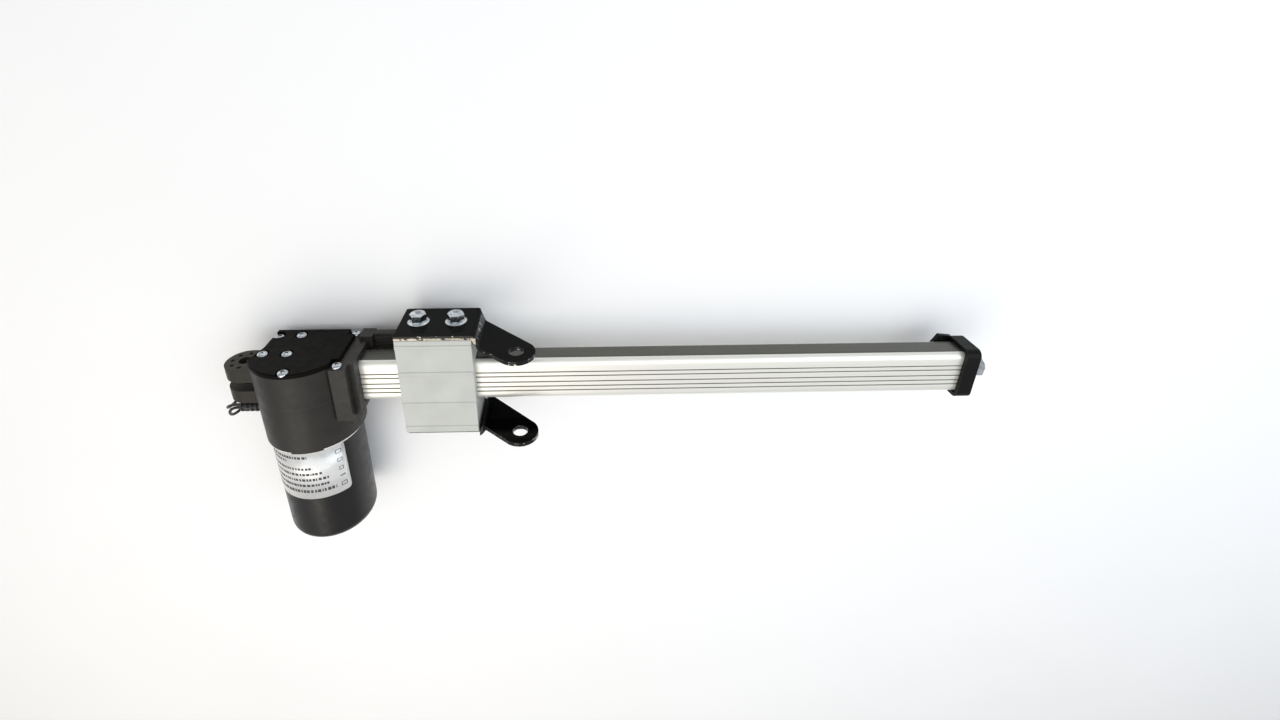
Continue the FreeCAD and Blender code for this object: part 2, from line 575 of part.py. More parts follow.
def make_housing():
    """The gearbox in two halves that meet at the seam, with the collar that holds the track."""
    deck = "cover_top - cover_thick"
    upper, _ = box_outline("BoxUpper", deck, f"{deck} - gear_floor")
    skirt = common("BoxSkirt", [
        rod("BoxRound", "y", "box_r", "box_bottom", "seam_y", "box_x", 0),
        block("BoxRest", ("box_x - 40", "box_x + 40"), ("box_bottom", "seam_y"), ("box_rest", "box_r + 1"))])
    collar = block("BoxCollar", ("box_right - 6", "collar_end"), ("gear_floor", "collar_top"),
                   ("collar_back", "collar_front"))
    pillar = block("BoxPillar", ("pillar_x", "pillar_end"), ("gear_floor", deck),
                   ("pillar_back", "pillar_front"))
    back = block("BoxBack", ("block_x", "block_end"), ("gear_floor", "cover_top"),
                 ("collar_back", "block_front"))
    solid = fuse("BoxSolid", [upper, skirt, collar, pillar, back, make_foot()])
    shell = cut("BoxShell", solid, housing_tools())
    low = block("BoxLowerHalf", (-50, 150), (-100, "seam_y"), (-80, 80))
    high = block("BoxUpperHalf", (-50, 150), ("seam_y", 100), (-80, 80))
    subpart("gearbox_upper_housing", common("UpperHousing", [shell, high]))
    subpart("gearbox_lower_housing", common("LowerHousing", [shell, low]))


def make_cover():
    """The lid: the gearbox outline with notches for three housing screws and seats for four of its own."""
    body, plate = box_outline("CoverPlate", "cover_top", "cover_thick - 0.02")
    top = size("cover_top")
    dress(body, "Chamfer", "CoverEdge", plate, "cover_edge",
          lambda edge: all(abs(vertex.Point.y - top) < 0.01 for vertex in edge.Vertexes))
    tools = [
        block("NotchA", ("box_left - 1", "17.6"), ("cover_top - 5", "cover_top + 1"), (-20.2, -12.0)),
        rod("NotchARound", "y", 4.1, "cover_top - 5", "cover_top + 1", 17.6, -16.1),
        block("NotchF", ("pillar_x", "box_right + 1"), ("cover_top - 5", "cover_top + 1"), (14.6, 40)),
        block("NotchG", ("pillar_x - 0.5", "box_right + 1"), ("cover_top - 5", "cover_top + 1"), (-40, -16))]
    for name, across, up in COVER_SCREWS:
        tools.append(rod(f"CoverHole{name}", "y", "thread_r + 0.2", "cover_top - 5", "cover_top + 1",
                         across, up))
        tools.append(rod(f"CoverRecess{name}", "y", "recess_r", "cover_top - recess_deep", "cover_top + 1",
                         across, up))
    subpart("gearbox_cover", cut("GearboxCover", body, tools))


def pan_screw(name, seat, across, up, long):
    """A cross-recessed pan head screw whose head sits on a seat and whose shank points to -Y."""
    barrel = rod(name + "Barrel", "y", "head_r", seat, f"{seat} + head_thick / 2", across, up)
    dome = add("Part::Cone", name + "Dome")
    dome.Placement = Placement(Vector(), TURNS["y"])
    bind(dome, "Radius1", "head_r")
    bind(dome, "Radius2", "head_r - head_slope")
    bind(dome, "Height", "head_thick / 2")
    for place, text in zip("xyz", (across, f"{seat} + head_thick / 2", up)):
        bind(dome, f"Placement.Base.{place}", text)
    shank = rod(name + "Shank", "y", "thread_r", f"{seat} - {long}", f"{seat} + 0.1", across, up)
    half_long, half_wide = "cross_long / 2", "cross_wide / 2"
    heights = (f"{seat} + head_thick - cross_deep", f"{seat} + head_thick + 1")
    recess = [
        block(name + "CrossA", (f"{across} - {half_long}", f"{across} + {half_long}"), heights,
              (f"{up} - {half_wide}", f"{up} + {half_wide}")),
        block(name + "CrossB", (f"{across} - {half_wide}", f"{across} + {half_wide}"), heights,
              (f"{up} - {half_long}", f"{up} + {half_long}"))]
    return cut(name, fuse(name + "Solid", [barrel, dome, shank]), recess)


def make_box_screws():
    deck = "(cover_top - cover_thick)"
    groups = (
        ("housing_screws", HOUSING_SCREWS, deck, "housing_screw"),
        ("cover_screws", COVER_SCREWS, "(cover_top - recess_deep)", "cover_screw"))
    for label, screws, seat, long in groups:
        group = add("Part::Compound", label.title().replace("_", ""))
        group.Links = [pan_screw(f"PanScrew{name}", seat, across, up, long) for name, across, up in screws]
        subpart(label, group)
    group = add("Part::Compound", "MotorScrews")
    group.Links = [pan_screw(f"MotorScrew{number}", "(box_bottom + box_wall)",
                             f"(motor_x + motor_screw_ring * cos({turn}))", "motor_z", "motor_screw")
                   for number, turn in enumerate((0, 180))]
    subpart("motor_screws", group)


def make_clevis():
    """The rear fork: two lugs with a cross bore and a ring of eight small blind holes on each face."""
    body = new_body("Clevis")
    plan = new_sketch(body, "ClevisPlan", "y", "clevis_half")
    rectangle(plan, (0, "clevis_end"), ("-clevis_r", "clevis_r"))
    pad(body, "ClevisArm", plan, "2 * clevis_half")
    nose = new_sketch(body, "ClevisNose", "y", "clevis_half")
    circle(nose, "clevis_r")
    pad(body, "ClevisRound", nose, "2 * clevis_half")
    rim = new_sketch(body, "ClevisRim", "x", "clevis_end - 4")
    rectangle(rim, ("-clevis_half - clevis_rim", "clevis_half + clevis_rim"), ("-clevis_r", "clevis_r"))
    pad(body, "ClevisFlange", rim, 4)
    gap = new_sketch(body, "ClevisGap", "z", "-clevis_r - 1")
    rectangle(gap, ("-clevis_r - 1", "clevis_slot_end"), ("-clevis_gap / 2", "clevis_gap / 2"))
    pocket(body, "ClevisSlot", gap, "2 * clevis_r + 2", reverse=True)
    bore = new_sketch(body, "ClevisBore", "y", "clevis_half + 1")
    circle(bore, "clevis_hole")
    pocket(body, "ClevisHole", bore, "2 * clevis_half + 2", reverse=True)
    rings = []
    for number in range(8):
        across = f"ring_r * cos({45 * number})"
        up = f"ring_r * sin({45 * number})"
        rings.append(rod(f"RingTop{number}", "y", "ring_hole", "clevis_half - ring_deep", "clevis_half + 1",
                         across, up))
        rings.append(rod(f"RingLow{number}", "y", "ring_hole", "-clevis_half - 1", "ring_deep - clevis_half",
                         across, up))
    subpart("rear_clevis", cut("RearClevis", body, rings))


def make_switch_housing():
    """The ribbed wall behind the start of the track, which holds the inner limit switch."""
    wall = block("GuideWall", ("block_end", "guide_end"), ("-guide_tall", "guide_tall"),
                 ("guide_back", "guide_wall_z"))
    step = block("GuideStep", ("block_end", "guide_end"), ("-guide_step", "guide_step"),
                 ("guide_back", "block_front"))
    tools = [block("GuideSlot", ("guide_end - 14", "guide_end + 1"), (-5, 5),
                   ("guide_back + 2", "block_front + 1"))]
    for number in range(3):
        for side in (1, -1):
            place = f"{side} * (guide_step + 2.4 + {number} * 2.6)"
            tools.append(block(f"GuideGroove{number}{'p' if side > 0 else 'n'}",
                               ("block_end + 1", "guide_end + 1"), (f"{place} - 0.5", f"{place} + 0.5"),
                               ("guide_wall_z - 0.6", "guide_wall_z + 1")))
    subpart("switch_housing", cut("SwitchHousing", fuse("GuideSolid", [wall, step]), tools))
    subpart("inner_limit_switch", block(
        "InnerSwitch", ("guide_end - 13.5", "guide_end - 1.5"), (-4.8, 4.8),
        ("guide_back + 2", "block_front")))


# ---- motor -------------------------------------------------------------------------------------------

def turned(name, corners):
    """A part turned about the motor's axis, from (radius, height) corners."""
    body = new_body(name)
    sketch = new_sketch(body, name + "Profile", "z", 0)
    polygon(sketch, corners)
    revolve(body, name + "Turn", sketch, "Y_Axis")
    bind(body, "Placement.Base.x", "motor_x")
    bind(body, "Placement.Base.z", "motor_z")
    return body


def make_can():
    body = turned("MotorCan", [
        (0, "can_bottom"), ("can_r", "can_bottom"), ("can_r", "can_top"), ("can_r - can_wall", "can_top"),
        ("can_r - can_wall", "can_bottom + can_wall"), ("bush_r + 0.05", "can_bottom + can_wall"),
        ("bush_r + 0.05", "can_bottom + 1"), (0, "can_bottom + 1")])
    bottom = size("can_bottom")
    outer = size("can_r")
    dress(body, "Fillet", "MotorCanRound", body.Tip, "can_round",
          lambda edge: isinstance(edge.Curve, Part.Circle) and abs(edge.Curve.Radius - outer) < 0.01
          and abs(edge.Curve.Center.y - bottom) < 0.01)
    heads = [rod(f"CanStud{number}", "y", 2.6, "can_bottom - 0.9", "can_bottom + 1.2",
                 f"motor_x + 20 * cos({turn})", f"motor_z + 20 * sin({turn})")
             for number, turn in enumerate((90, 270))]
    subpart("motor_can", fuse("MotorCanSolid", [body] + heads))


def motor_rod(name, radius, start, end):
    return rod(name, "y", radius, start, end, "motor_x", "motor_z")


def motor_tube(name, outer, inner, start, end):
    return tube(name, "y", outer, inner, start, end, "motor_x", "motor_z")


def make_motor():
    make_can()
    plate = turned("FrontPlate", [
        ("shaft_r + 1.2", "can_top"), ("flange_r", "can_top"), ("flange_r", "box_bottom"),
        ("front_boss_r", "box_bottom"), ("front_boss_r", "box_bottom + front_boss"),
        ("shaft_r + 1.2", "box_bottom + front_boss")])
    holes = [rod(f"PlateHole{number}", "y", "thread_r + 0.05", "can_top - 1", "box_bottom + 1",
                 f"motor_x + motor_screw_ring * cos({turn})", "motor_z")
             for number, turn in enumerate((0, 180))]
    subpart("motor_front_plate", cut("MotorFrontPlate", plate, holes))
    subpart("rear_bearing", motor_tube("RearBearing", "bush_r", "shaft_r + bush_fit",
                                       "can_bottom + 1", "can_bottom + 1 + bush_long"))
    for number, turn in enumerate((20, 200)):
        ring = add("Part::Cylinder", f"MagnetArc{number}")
        ring.Placement = Placement(Vector(), Rotation(Vector(0, 1, 0), turn) * TURNS["y"])
        bind(ring, "Radius", "can_r - can_wall - 0.05")
        bind(ring, "Height", "magnet_top - magnet_bottom")
        bind(ring, "Angle", "magnet_angle")
        for place, text in zip("xyz", ("motor_x", "magnet_bottom", "motor_z")):
            bind(ring, f"Placement.Base.{place}", text)
        bore = motor_rod(f"MagnetBore{number}", "magnet_in", "magnet_bottom - 1", "magnet_top + 1")
        subpart(f"magnet_{number + 1}", cut(f"Magnet{number}", ring, [bore]))
    holder = motor_tube("HolderRing", "holder_r", "commutator_r + 1", "commutator_bottom",
                        "commutator_bottom + holder_thick")
    subpart("brush_holder", holder)
    brush_span = ("commutator_bottom + holder_thick", "commutator_bottom + holder_thick + brush_wide")
    brushes = [block(f"Brush{number}", (low, high), brush_span,
                     ("motor_z - brush_wide / 2", "motor_z + brush_wide / 2"))
               for number, (low, high) in enumerate((
                   ("motor_x + commutator_r + 0.1", "motor_x + commutator_r + brush_long"),
                   ("motor_x - commutator_r - brush_long", "motor_x - commutator_r - 0.1")))]
    group = add("Part::Compound", "Brushes")
    group.Links = brushes
    subpart("brushes", group)
    subpart("rotor_shaft", motor_rod("RotorShaft", "shaft_r", "shaft_bottom", "shaft_top"))
    slots = [rod(f"CoreSlot{number}", "y", 2.2, "core_bottom - 1", "core_top + 1",
                 f"motor_x + (core_r - 1.4) * cos({30 * number})",
                 f"motor_z + (core_r - 1.4) * sin({30 * number})") for number in range(12)]
    stack = motor_rod("CoreStack", "core_r", "core_bottom", "core_top")
    subpart("armature_core", cut("ArmatureCore", stack, slots + [
        motor_rod("CoreBore", "shaft_r", "core_bottom - 1", "core_top + 1")]))
    ends = add("Part::Compound", "Windings")
    ends.Links = [
        motor_tube("WindingLow", "coil_r", "shaft_r + 2", "core_bottom - coil_long", "core_bottom"),
        motor_tube("WindingHigh", "coil_r", "shaft_r + 2", "core_top", "core_top + coil_long - 1")]
    subpart("armature_windings", ends)
    subpart("commutator", motor_tube("Commutator", "commutator_r", "shaft_r", "commutator_bottom",
                                     "commutator_top"))


def make_label():
    """The thin blank rating plate that is wrapped round the can."""
    sector = add("Part::Cylinder", "LabelSector")
    sector.Placement = Placement(
        Vector(), Rotation(Vector(0, 1, 0), -size("label_from + label_turn")) * TURNS["y"])
    bind(sector, "Radius", "can_r + label_thick")
    bind(sector, "Height", "label_top - label_bottom")
    bind(sector, "Angle", "label_turn")
    for place, text in zip("xyz", ("motor_x", "label_bottom", "motor_z")):
        bind(sector, f"Placement.Base.{place}", text)
    bore = motor_rod("LabelBore", "can_r", "label_bottom - 1", "label_top + 1")
    subpart("motor_label", cut("MotorLabel", sector, [bore]))


# ---- gear train and lead screw -----------------------------------------------------------------------

def toothed(name, root, tip, teeth, start, thick, bore, up, turn):
    """A straight-toothed gear about an axis along X: a blank, tapered teeth and a bore."""
    body = new_body(name)
    blank = new_sketch(body, name + "Blank", "x", 0)
    circle(blank, root)
    pad(body, name + "Disc", blank, thick)
    tooth = new_sketch(body, name + "ToothOutline", "x", 0)
    polygon(tooth, [("-tooth_thick", f"{root} - 0.5"), ("tooth_thick", f"{root} - 0.5"),
                    ("tooth_thick / 3", tip), ("-tooth_thick / 3", tip)])
    feature = pad(body, name + "Tooth", tooth, thick)
    pattern = body.newObject("PartDesign::PolarPattern", name + "Teeth")
    pattern.Originals = [feature]
    axis = [item for item in body.Origin.OriginFeatures if item.Role == "X_Axis"][0]
    pattern.Axis = (axis, [""])
    pattern.Angle = 360
    bind(pattern, "Occurrences", teeth)
    body.Tip = pattern
    document.recompute()
    hole = new_sketch(body, name + "BoreOutline", "x", 0)
    circle(hole, bore)
    pocket(body, name + "Bore", hole, thick, reverse=True)
    body.Placement = Placement(Vector(), Rotation(Vector(1, 0, 0), turn))
    bind(body, "Placement.Base.x", start)
    bind(body, "Placement.Base.z", up)
    return body


def make_worm():
    """A single-start worm: a core with one square thread swept along a helix."""
    core = motor_rod("WormCore", "worm_r", "worm_low", "worm_high")
    pitch = size("worm_pitch")
    height = size("worm_high - worm_low - 2 * thread_thick")
    helix = Part.makeHelix(pitch, height, size("worm_r"))
    low = size("worm_r - 0.3")
    high = size("worm_tip")
    half = size("thread_thick / 2")
    corners = [Vector(low, 0, -half), Vector(high, 0, -half * 0.6), Vector(high, 0, half * 0.6),
               Vector(low, 0, half), Vector(low, 0, -half)]
    thread = add("Part::Feature", "WormThread")
    thread.Shape = Part.Wire(helix).makePipeShell([Part.makePolygon(corners)], True, True)
    thread.Placement = Placement(
        Vector(size("motor_x"), size("worm_low + thread_thick"), size("motor_z")), TURNS["y"])
    bore = motor_rod("WormBore", "shaft_r", "worm_low - 1", "worm_high + 1")
    subpart("worm", cut("Worm", fuse("WormSolid", [core, thread]), [bore]))


def make_gears():
    counter_z = "motor_z + gear_distance"
    make_worm()
    wheel = toothed("WormWheelRim", "wheel_root", "wheel_tip", "wheel_teeth", "wheel_x", "wheel_thick",
                    "counter_r", counter_z, size("wheel_turn"))
    subpart("worm_wheel", wheel)
    pinion = toothed("PinionBody", "pinion_root", "pinion_tip", "pinion_teeth", "pinion_x", "pinion_long",
                     "counter_r", counter_z, 0)
    subpart("pinion", pinion)
    spur = toothed("SpurBody", "spur_root", "spur_tip", "spur_teeth", "spur_x", "spur_thick", "journal_r",
                   0, size("spur_turn"))
    subpart("screw_gear", spur)
    subpart("counter_shaft", rod("CounterShaft", "x", "counter_r", "counter_start + 0.3", "counter_end - 0.3",
                                 0, counter_z))
    bushes = add("Part::Compound", "CounterBushes")
    bushes.Links = [
        tube("CounterBushLow", "x", "counter_bush_r", "counter_r + bush_fit", "counter_start",
             "counter_start + counter_bush", 0, counter_z),
        tube("CounterBushHigh", "x", "counter_bush_r", "counter_r + bush_fit", "counter_end - counter_bush",
             "counter_end", 0, counter_z)]
    subpart("counter_bushes", bushes)
    subpart("worm_bush", motor_tube("WormBush", "bush_r", "shaft_r + bush_fit", "shaft_top - 5", "shaft_top"))


BALLS = 7


def make_lead_screw():
    """The screw, its plain bush, and the ball bearing that takes its thrust."""
    body = new_body("LeadScrew")
    sketch = new_sketch(body, "LeadScrewProfile", "z", 0)
    polygon(sketch, [
        ("journal_start", 0), ("journal_start", "journal_r"), ("screw_start", "journal_r"),
        ("screw_start", "screw_r"), ("screw_end", "screw_r"), ("screw_end", "journal_r"),
        ("screw_end + end_journal", "journal_r"), ("screw_end + end_journal", 0)])
    revolve(body, "LeadScrewTurn", sketch, "X_Axis")
    subpart("lead_screw", body)
    subpart("screw_bush", tube("ScrewBush", "x", "bush_r", "journal_r + bush_fit", "journal_start - 1",
                               "journal_start + 4"))
    inner = tube("RaceInner", "x", "race_in", "journal_r", "bearing_x", "bearing_x + bearing_long - 0.5")
    outer = tube("RaceOuter", "x", "bearing_r", "race_out", "bearing_x", "bearing_x + bearing_long")
    subpart("bearing_inner_race", inner)
    cage = [ball(f"BearingBall{number}", "(race_out - race_in) / 2 - ball_fit",
                 "bearing_x + bearing_long / 2",
                 f"(race_in + race_out) / 2 * cos(360 / {BALLS} * {number})",
                 f"(race_in + race_out) / 2 * sin(360 / {BALLS} * {number})") for number in range(BALLS)]
    subpart("bearing_outer_race", outer)
    balls = add("Part::Compound", "BearingBalls")
    balls.Links = cage
    subpart("bearing_balls", balls)


# ---- far end -----------------------------------------------------------------------------------------

def make_end():
    body = new_body("EndCap")
    outline = new_sketch(body, "EndCapOutline", "x", "cap_start")
    rectangle(outline, ("-cap_tall / 2", "cap_tall / 2"), ("-cap_deep / 2", "cap_deep / 2"))
    cup = pad(body, "EndCapCup", outline, "cap_end - cap_start")
    dress(body, "Fillet", "EndCapCorners", cup, "cap_corner", runs_along("x"))
    inside = new_sketch(body, "EndCapInside", "x", "cap_start")
    rectangle(inside, ("-track_tall / 2 - 0.1", "track_tall / 2 + 0.1"),
              ("-track_deep / 2 - 0.1", "track_deep / 2 + 0.1"))
    pocket(body, "EndCapHollow", inside, "track_end - cap_start + 0.05", reverse=True)
    tongue = new_sketch(body, "EndCapTongue", "z", "-cap_deep / 2")
    polygon(tongue, [("cap_start + 2", "-cap_tall / 2 + 1"), ("cap_start + 2", "cap_tall / 2 - 1"),
                     ("tongue_x2", "cap_tall / 2"), ("tongue_x1", "tongue_y"), ("tongue_x1", "-tongue_y"),
                     ("tongue_x2", "-cap_tall / 2")])
    pad(body, "EndCapLip", tongue, "tongue_thick")
    hole = rod("EndCapHole", "x", "stud_r + 0.1", "cap_start", "cap_end + 1")
    subpart("end_cap", cut("EndCapSolid", body, [hole]))
    half_tall = "track_tall / 2 - track_wall - 0.05"
    half_deep = "track_deep / 2 - track_wall - 0.05"
    plug = block("EndPlugBlock", ("plug_start", "track_end"), (f"-({half_tall})", half_tall),
                 (f"-({half_deep})", half_deep))
    subpart("end_plug", cut("EndPlug", plug, [
        rod("EndPlugSeat", "x", "end_bush_r + 0.02", "plug_start - 1", "stud_start - 2"),
        rod("EndPlugThread", "x", "stud_r", "stud_start", "track_end + 1")]))
    subpart("end_bush", tube("EndBush", "x", "end_bush_r", "journal_r + bush_fit", "screw_end + 0.5",
                             "screw_end + end_bush_long"))
    subpart("end_stud", rod("EndStud", "x", "stud_r", "stud_start", "stud_end"))
    subpart("end_washer", tube("EndWasher", "x", "washer_r", "stud_r + 0.1", "cap_end",
                               "cap_end + washer_thick"))
    nut = hexagon("EndNutHex", "x", "nut_hex_r", "cap_end + washer_thick",
                  "cap_end + washer_thick + nut_thick")
    bore = rod("EndNutBore", "x", "stud_r + 0.02", "cap_end", "stud_end")
    subpart("end_nut", cut("EndNut", nut, [bore]))


# ---- leads -------------------------------------------------------------------------------------------

# Each lead leaves the strain relief, drops to the ground and runs back under the gearbox to the hank.
LEAD_ROUTES = {
    "lead_1": [(-7.5, -19.4, 5.0), (-13.0, -19.4, 5.0), (-18.4, -22.4, 3.6), (-21.4, -27.2, -1.5),
               (-21.0, -28.5, -10.0), (-18.0, -24.5, -19.0), (-13.0, -17.5, -26.5), (-5.0, -9.5, -30.8),
               (8.0, -2.0, -30.8), (22.0, 3.6, -30.8), (40.0, 5.2, -30.8), (58.0, 4.0, -30.8),
               (73.0, -0.6, -30.8), (83.0, -2.6, -30.0), (92.0, -2.6, -30.0)],
    "lead_2": [(-7.5, -21.8, 5.0), (-13.5, -21.8, 5.0), (-17.8, -26.2, 4.2), (-19.0, -32.0, 0.5),
               (-18.0, -34.0, -7.5), (-15.0, -30.5, -16.5), (-9.5, -22.5, -25.0), (-1.0, -13.5, -30.8),
               (10.0, -5.5, -30.8), (23.0, 0.4, -30.8), (40.0, 1.8, -30.8), (57.0, 0.8, -30.8),
               (72.0, -4.6, -30.8), (82.5, -9.4, -30.0), (92.0, -9.4, -30.0)],
}


def rounded_path(points):
    """Straight runs joined by tangent arcs, each as large as 0.45 of its shorter run allows."""
    edges = []
    start = points[0]
    radii = []
    for before, corner, after in zip(points, points[1:], points[2:]):
        inward = (before - corner).normalize()
        outward = (after - corner).normalize()
        half_turn = (math.pi - inward.getAngle(outward)) / 2
        setback = 0.45 * min((before - corner).Length, (after - corner).Length)
        radius = setback / math.tan(half_turn)
        radii.append(radius)
        first = corner + inward * setback
        last = corner + outward * setback
        bisector = (inward + outward).normalize()
        middle = corner + bisector * (radius / math.cos(half_turn) - radius)
        edges.append(Part.LineSegment(start, first).toShape())
        edges.append(Part.Arc(first, middle, last).toShape())
        start = last
    edges.append(Part.LineSegment(start, points[-1]).toShape())
    return Part.Wire(edges), radii


def make_leads():
    radius = size("wire_r")
    for label, route in LEAD_ROUTES.items():
        path, radii = rounded_path([Vector(*point) for point in route])
        first = path.Edges[0]
        section = Part.Wire(Part.makeCircle(radius, first.valueAt(first.FirstParameter),
                                            first.tangentAt(first.FirstParameter)))
        lead = add("Part::Feature", label.title().replace("_", ""))
        lead.Shape = path.makePipeShell([section], True, True)
        lead.Placement = Placement()
        print(label, "length", round(path.Length, 1), "tightest", round(min(radii), 1),
              "volume ratio", round(lead.Shape.Volume / (path.Length * math.pi * radius ** 2), 3))
        subpart(label, lead)
    half_wide = "hank_wide / 2"
    hank = new_body("LeadHank")
    outline = new_sketch(hank, "HankOutline", "z", "floor_z + tie_thick")
    rectangle(outline, ("hank_start", "hank_start + hank_long"),
              (f"hank_y - {half_wide}", f"hank_y + {half_wide}"))
    loaf = pad(hank, "HankLoaf", outline, "hank_high")
    dress(hank, "Fillet", "HankEnds", loaf, "hank_round", runs_along("z"))
    subpart("lead_hank", hank)
    tie_place = ("hank_start + hank_long / 2 - 2.5", "hank_start + hank_long / 2 + 2.5")
    tie = block("TieOuter", tie_place,
                (f"hank_y - {half_wide} - tie_thick", f"hank_y + {half_wide} + tie_thick"),
                ("floor_z", "floor_z + hank_high + 2 * tie_thick"))
    inside = block("TieInner", tie_place, (f"hank_y - {half_wide}", f"hank_y + {half_wide}"),
                   ("floor_z + tie_thick", "floor_z + tie_thick + hank_high"))
    subpart("hank_tie", cut("HankTie", tie, [inside]))
    subpart("lead_connector", block(
        "LeadConnector", ("hank_start + hank_long", "hank_start + hank_long + connector_long"),
        ("hank_y - connector_wide / 2", "hank_y + connector_wide / 2"),
        ("floor_z", "floor_z + connector_high")))


def make_strain_relief():
    """A ribbed grommet with a flange inside the wall and three grooves outside it."""
    body = new_body("StrainRelief")
    sketch = new_sketch(body, "ReliefProfile", "z", 0)
    corners = [("relief_out", 0), ("relief_out", "relief_rib - 0.5")]
    for number in range(3):
        left = f"relief_out + 1.8 + {number} * relief_pitch"
        corners += [(left, "relief_rib"), (left, "relief_neck"),
                    (f"{left} + 1.5", "relief_neck"), (f"{left} + 1.5", "relief_rib")]
    corners += [("relief_out + 1.8 + 3 * relief_pitch", "relief_rib"),
                ("relief_out + 1.8 + 3 * relief_pitch", "relief_neck"), ("relief_in", "relief_neck"),
                ("relief_in", 0)]
    polygon(sketch, corners)
    revolve(body, "ReliefTurn", sketch, "X_Axis")
    bind(body, "Placement.Base.y", "relief_y")
    bind(body, "Placement.Base.z", "relief_z")
    subpart("strain_relief", body)


def check_and_write():
    """Stops on any failed object, then writes one STEP file for each sub-part."""
    document.recompute()
    bad = [item.Name for item in document.Objects if {"Invalid", "Error"} & set(item.State)]
    for item in SUBPARTS:
        if item.Shape.isNull() or not item.Shape.isValid() or item.Shape.Volume <= 0:
            bad.append(item.Label)
    if bad:
        raise ValueError(f"failed objects: {bad}")
    os.makedirs("parts", exist_ok=True)
    for item in SUBPARTS:
        item.Shape.exportStep(f"parts/{item.Label}.step")
        print(item.Label, len(item.Shape.Solids), round(item.Shape.Volume))


make_track()
make_slider()
make_drive_nut()
make_bracket("upper_bracket", 1)
make_bracket("lower_bracket", -1)
make_bracket_bolts()
make_housing()
make_cover()
make_box_screws()
make_clevis()
make_switch_housing()
make_motor()
make_label()
make_gears()
make_lead_screw()
make_end()
make_strain_relief()
make_leads()
check_and_write()
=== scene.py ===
"""The looks of the track linear actuator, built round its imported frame.

Lengths are in millimetres in the row's frame, and turned into metres where a mesh, curve or object is made.
Places come from the frame's nodes through span(), and the sizes below are for the details it leaves out.
"""
import json
import math
import random

import bmesh
import bpy
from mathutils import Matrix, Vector


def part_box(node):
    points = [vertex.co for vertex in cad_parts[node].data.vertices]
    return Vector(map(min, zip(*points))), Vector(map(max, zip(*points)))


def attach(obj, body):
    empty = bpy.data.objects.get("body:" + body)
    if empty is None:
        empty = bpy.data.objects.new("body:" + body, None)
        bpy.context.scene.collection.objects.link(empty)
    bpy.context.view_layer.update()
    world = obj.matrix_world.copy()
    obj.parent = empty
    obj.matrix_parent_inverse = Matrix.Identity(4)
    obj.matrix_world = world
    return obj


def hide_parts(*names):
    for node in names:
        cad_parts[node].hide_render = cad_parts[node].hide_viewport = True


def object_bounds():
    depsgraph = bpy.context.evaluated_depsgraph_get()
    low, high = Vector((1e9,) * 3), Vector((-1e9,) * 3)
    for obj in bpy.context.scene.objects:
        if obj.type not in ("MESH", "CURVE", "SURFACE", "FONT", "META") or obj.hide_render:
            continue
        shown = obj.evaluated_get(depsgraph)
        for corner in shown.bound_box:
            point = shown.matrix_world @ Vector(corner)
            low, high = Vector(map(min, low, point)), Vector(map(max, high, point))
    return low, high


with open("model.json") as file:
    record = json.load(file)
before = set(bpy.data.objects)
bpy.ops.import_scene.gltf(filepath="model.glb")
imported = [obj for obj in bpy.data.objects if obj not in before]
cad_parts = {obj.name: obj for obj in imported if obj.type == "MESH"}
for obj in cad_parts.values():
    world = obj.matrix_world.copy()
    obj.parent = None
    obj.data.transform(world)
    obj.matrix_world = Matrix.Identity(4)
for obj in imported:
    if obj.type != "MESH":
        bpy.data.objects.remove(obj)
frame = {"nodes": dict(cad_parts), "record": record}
cad_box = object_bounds()
MM = 0.001
SLOTS = {item["node"]: item["material_slot"] for item in frame["record"]["subparts"]}
BODIES = {node: body for body, members in frame["record"]["behaviour"]["bodies"].items() for node in members}


def span(node):
    """A frame node's lowest and highest corners, in millimetres."""
    low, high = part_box(node)
    return low / MM, high / MM


# ---- camera ------------------------------------------------------------------------------------------

def make_camera():
    """Looks down on the actuator's grooved front, tipped so that the cover and the upper bracket show."""
    data = bpy.data.cameras.new("Camera")
    data.sensor_width = 36.0
    data.lens = 16.24
    data.shift_x = 0.05
    data.shift_y = -0.083
    data.clip_start = 0.01
    camera = bpy.data.objects.new("Camera", data)
    camera.location = Vector((216.0, 229.3, 330.8)) * MM
    camera.rotation_euler = [math.radians(turn) for turn in (-23.22, -1.08, -0.28)]
    bpy.context.scene.collection.objects.link(camera)
    bpy.context.scene.camera = camera


make_camera()


# ---- materials ---------------------------------------------------------------------------------------

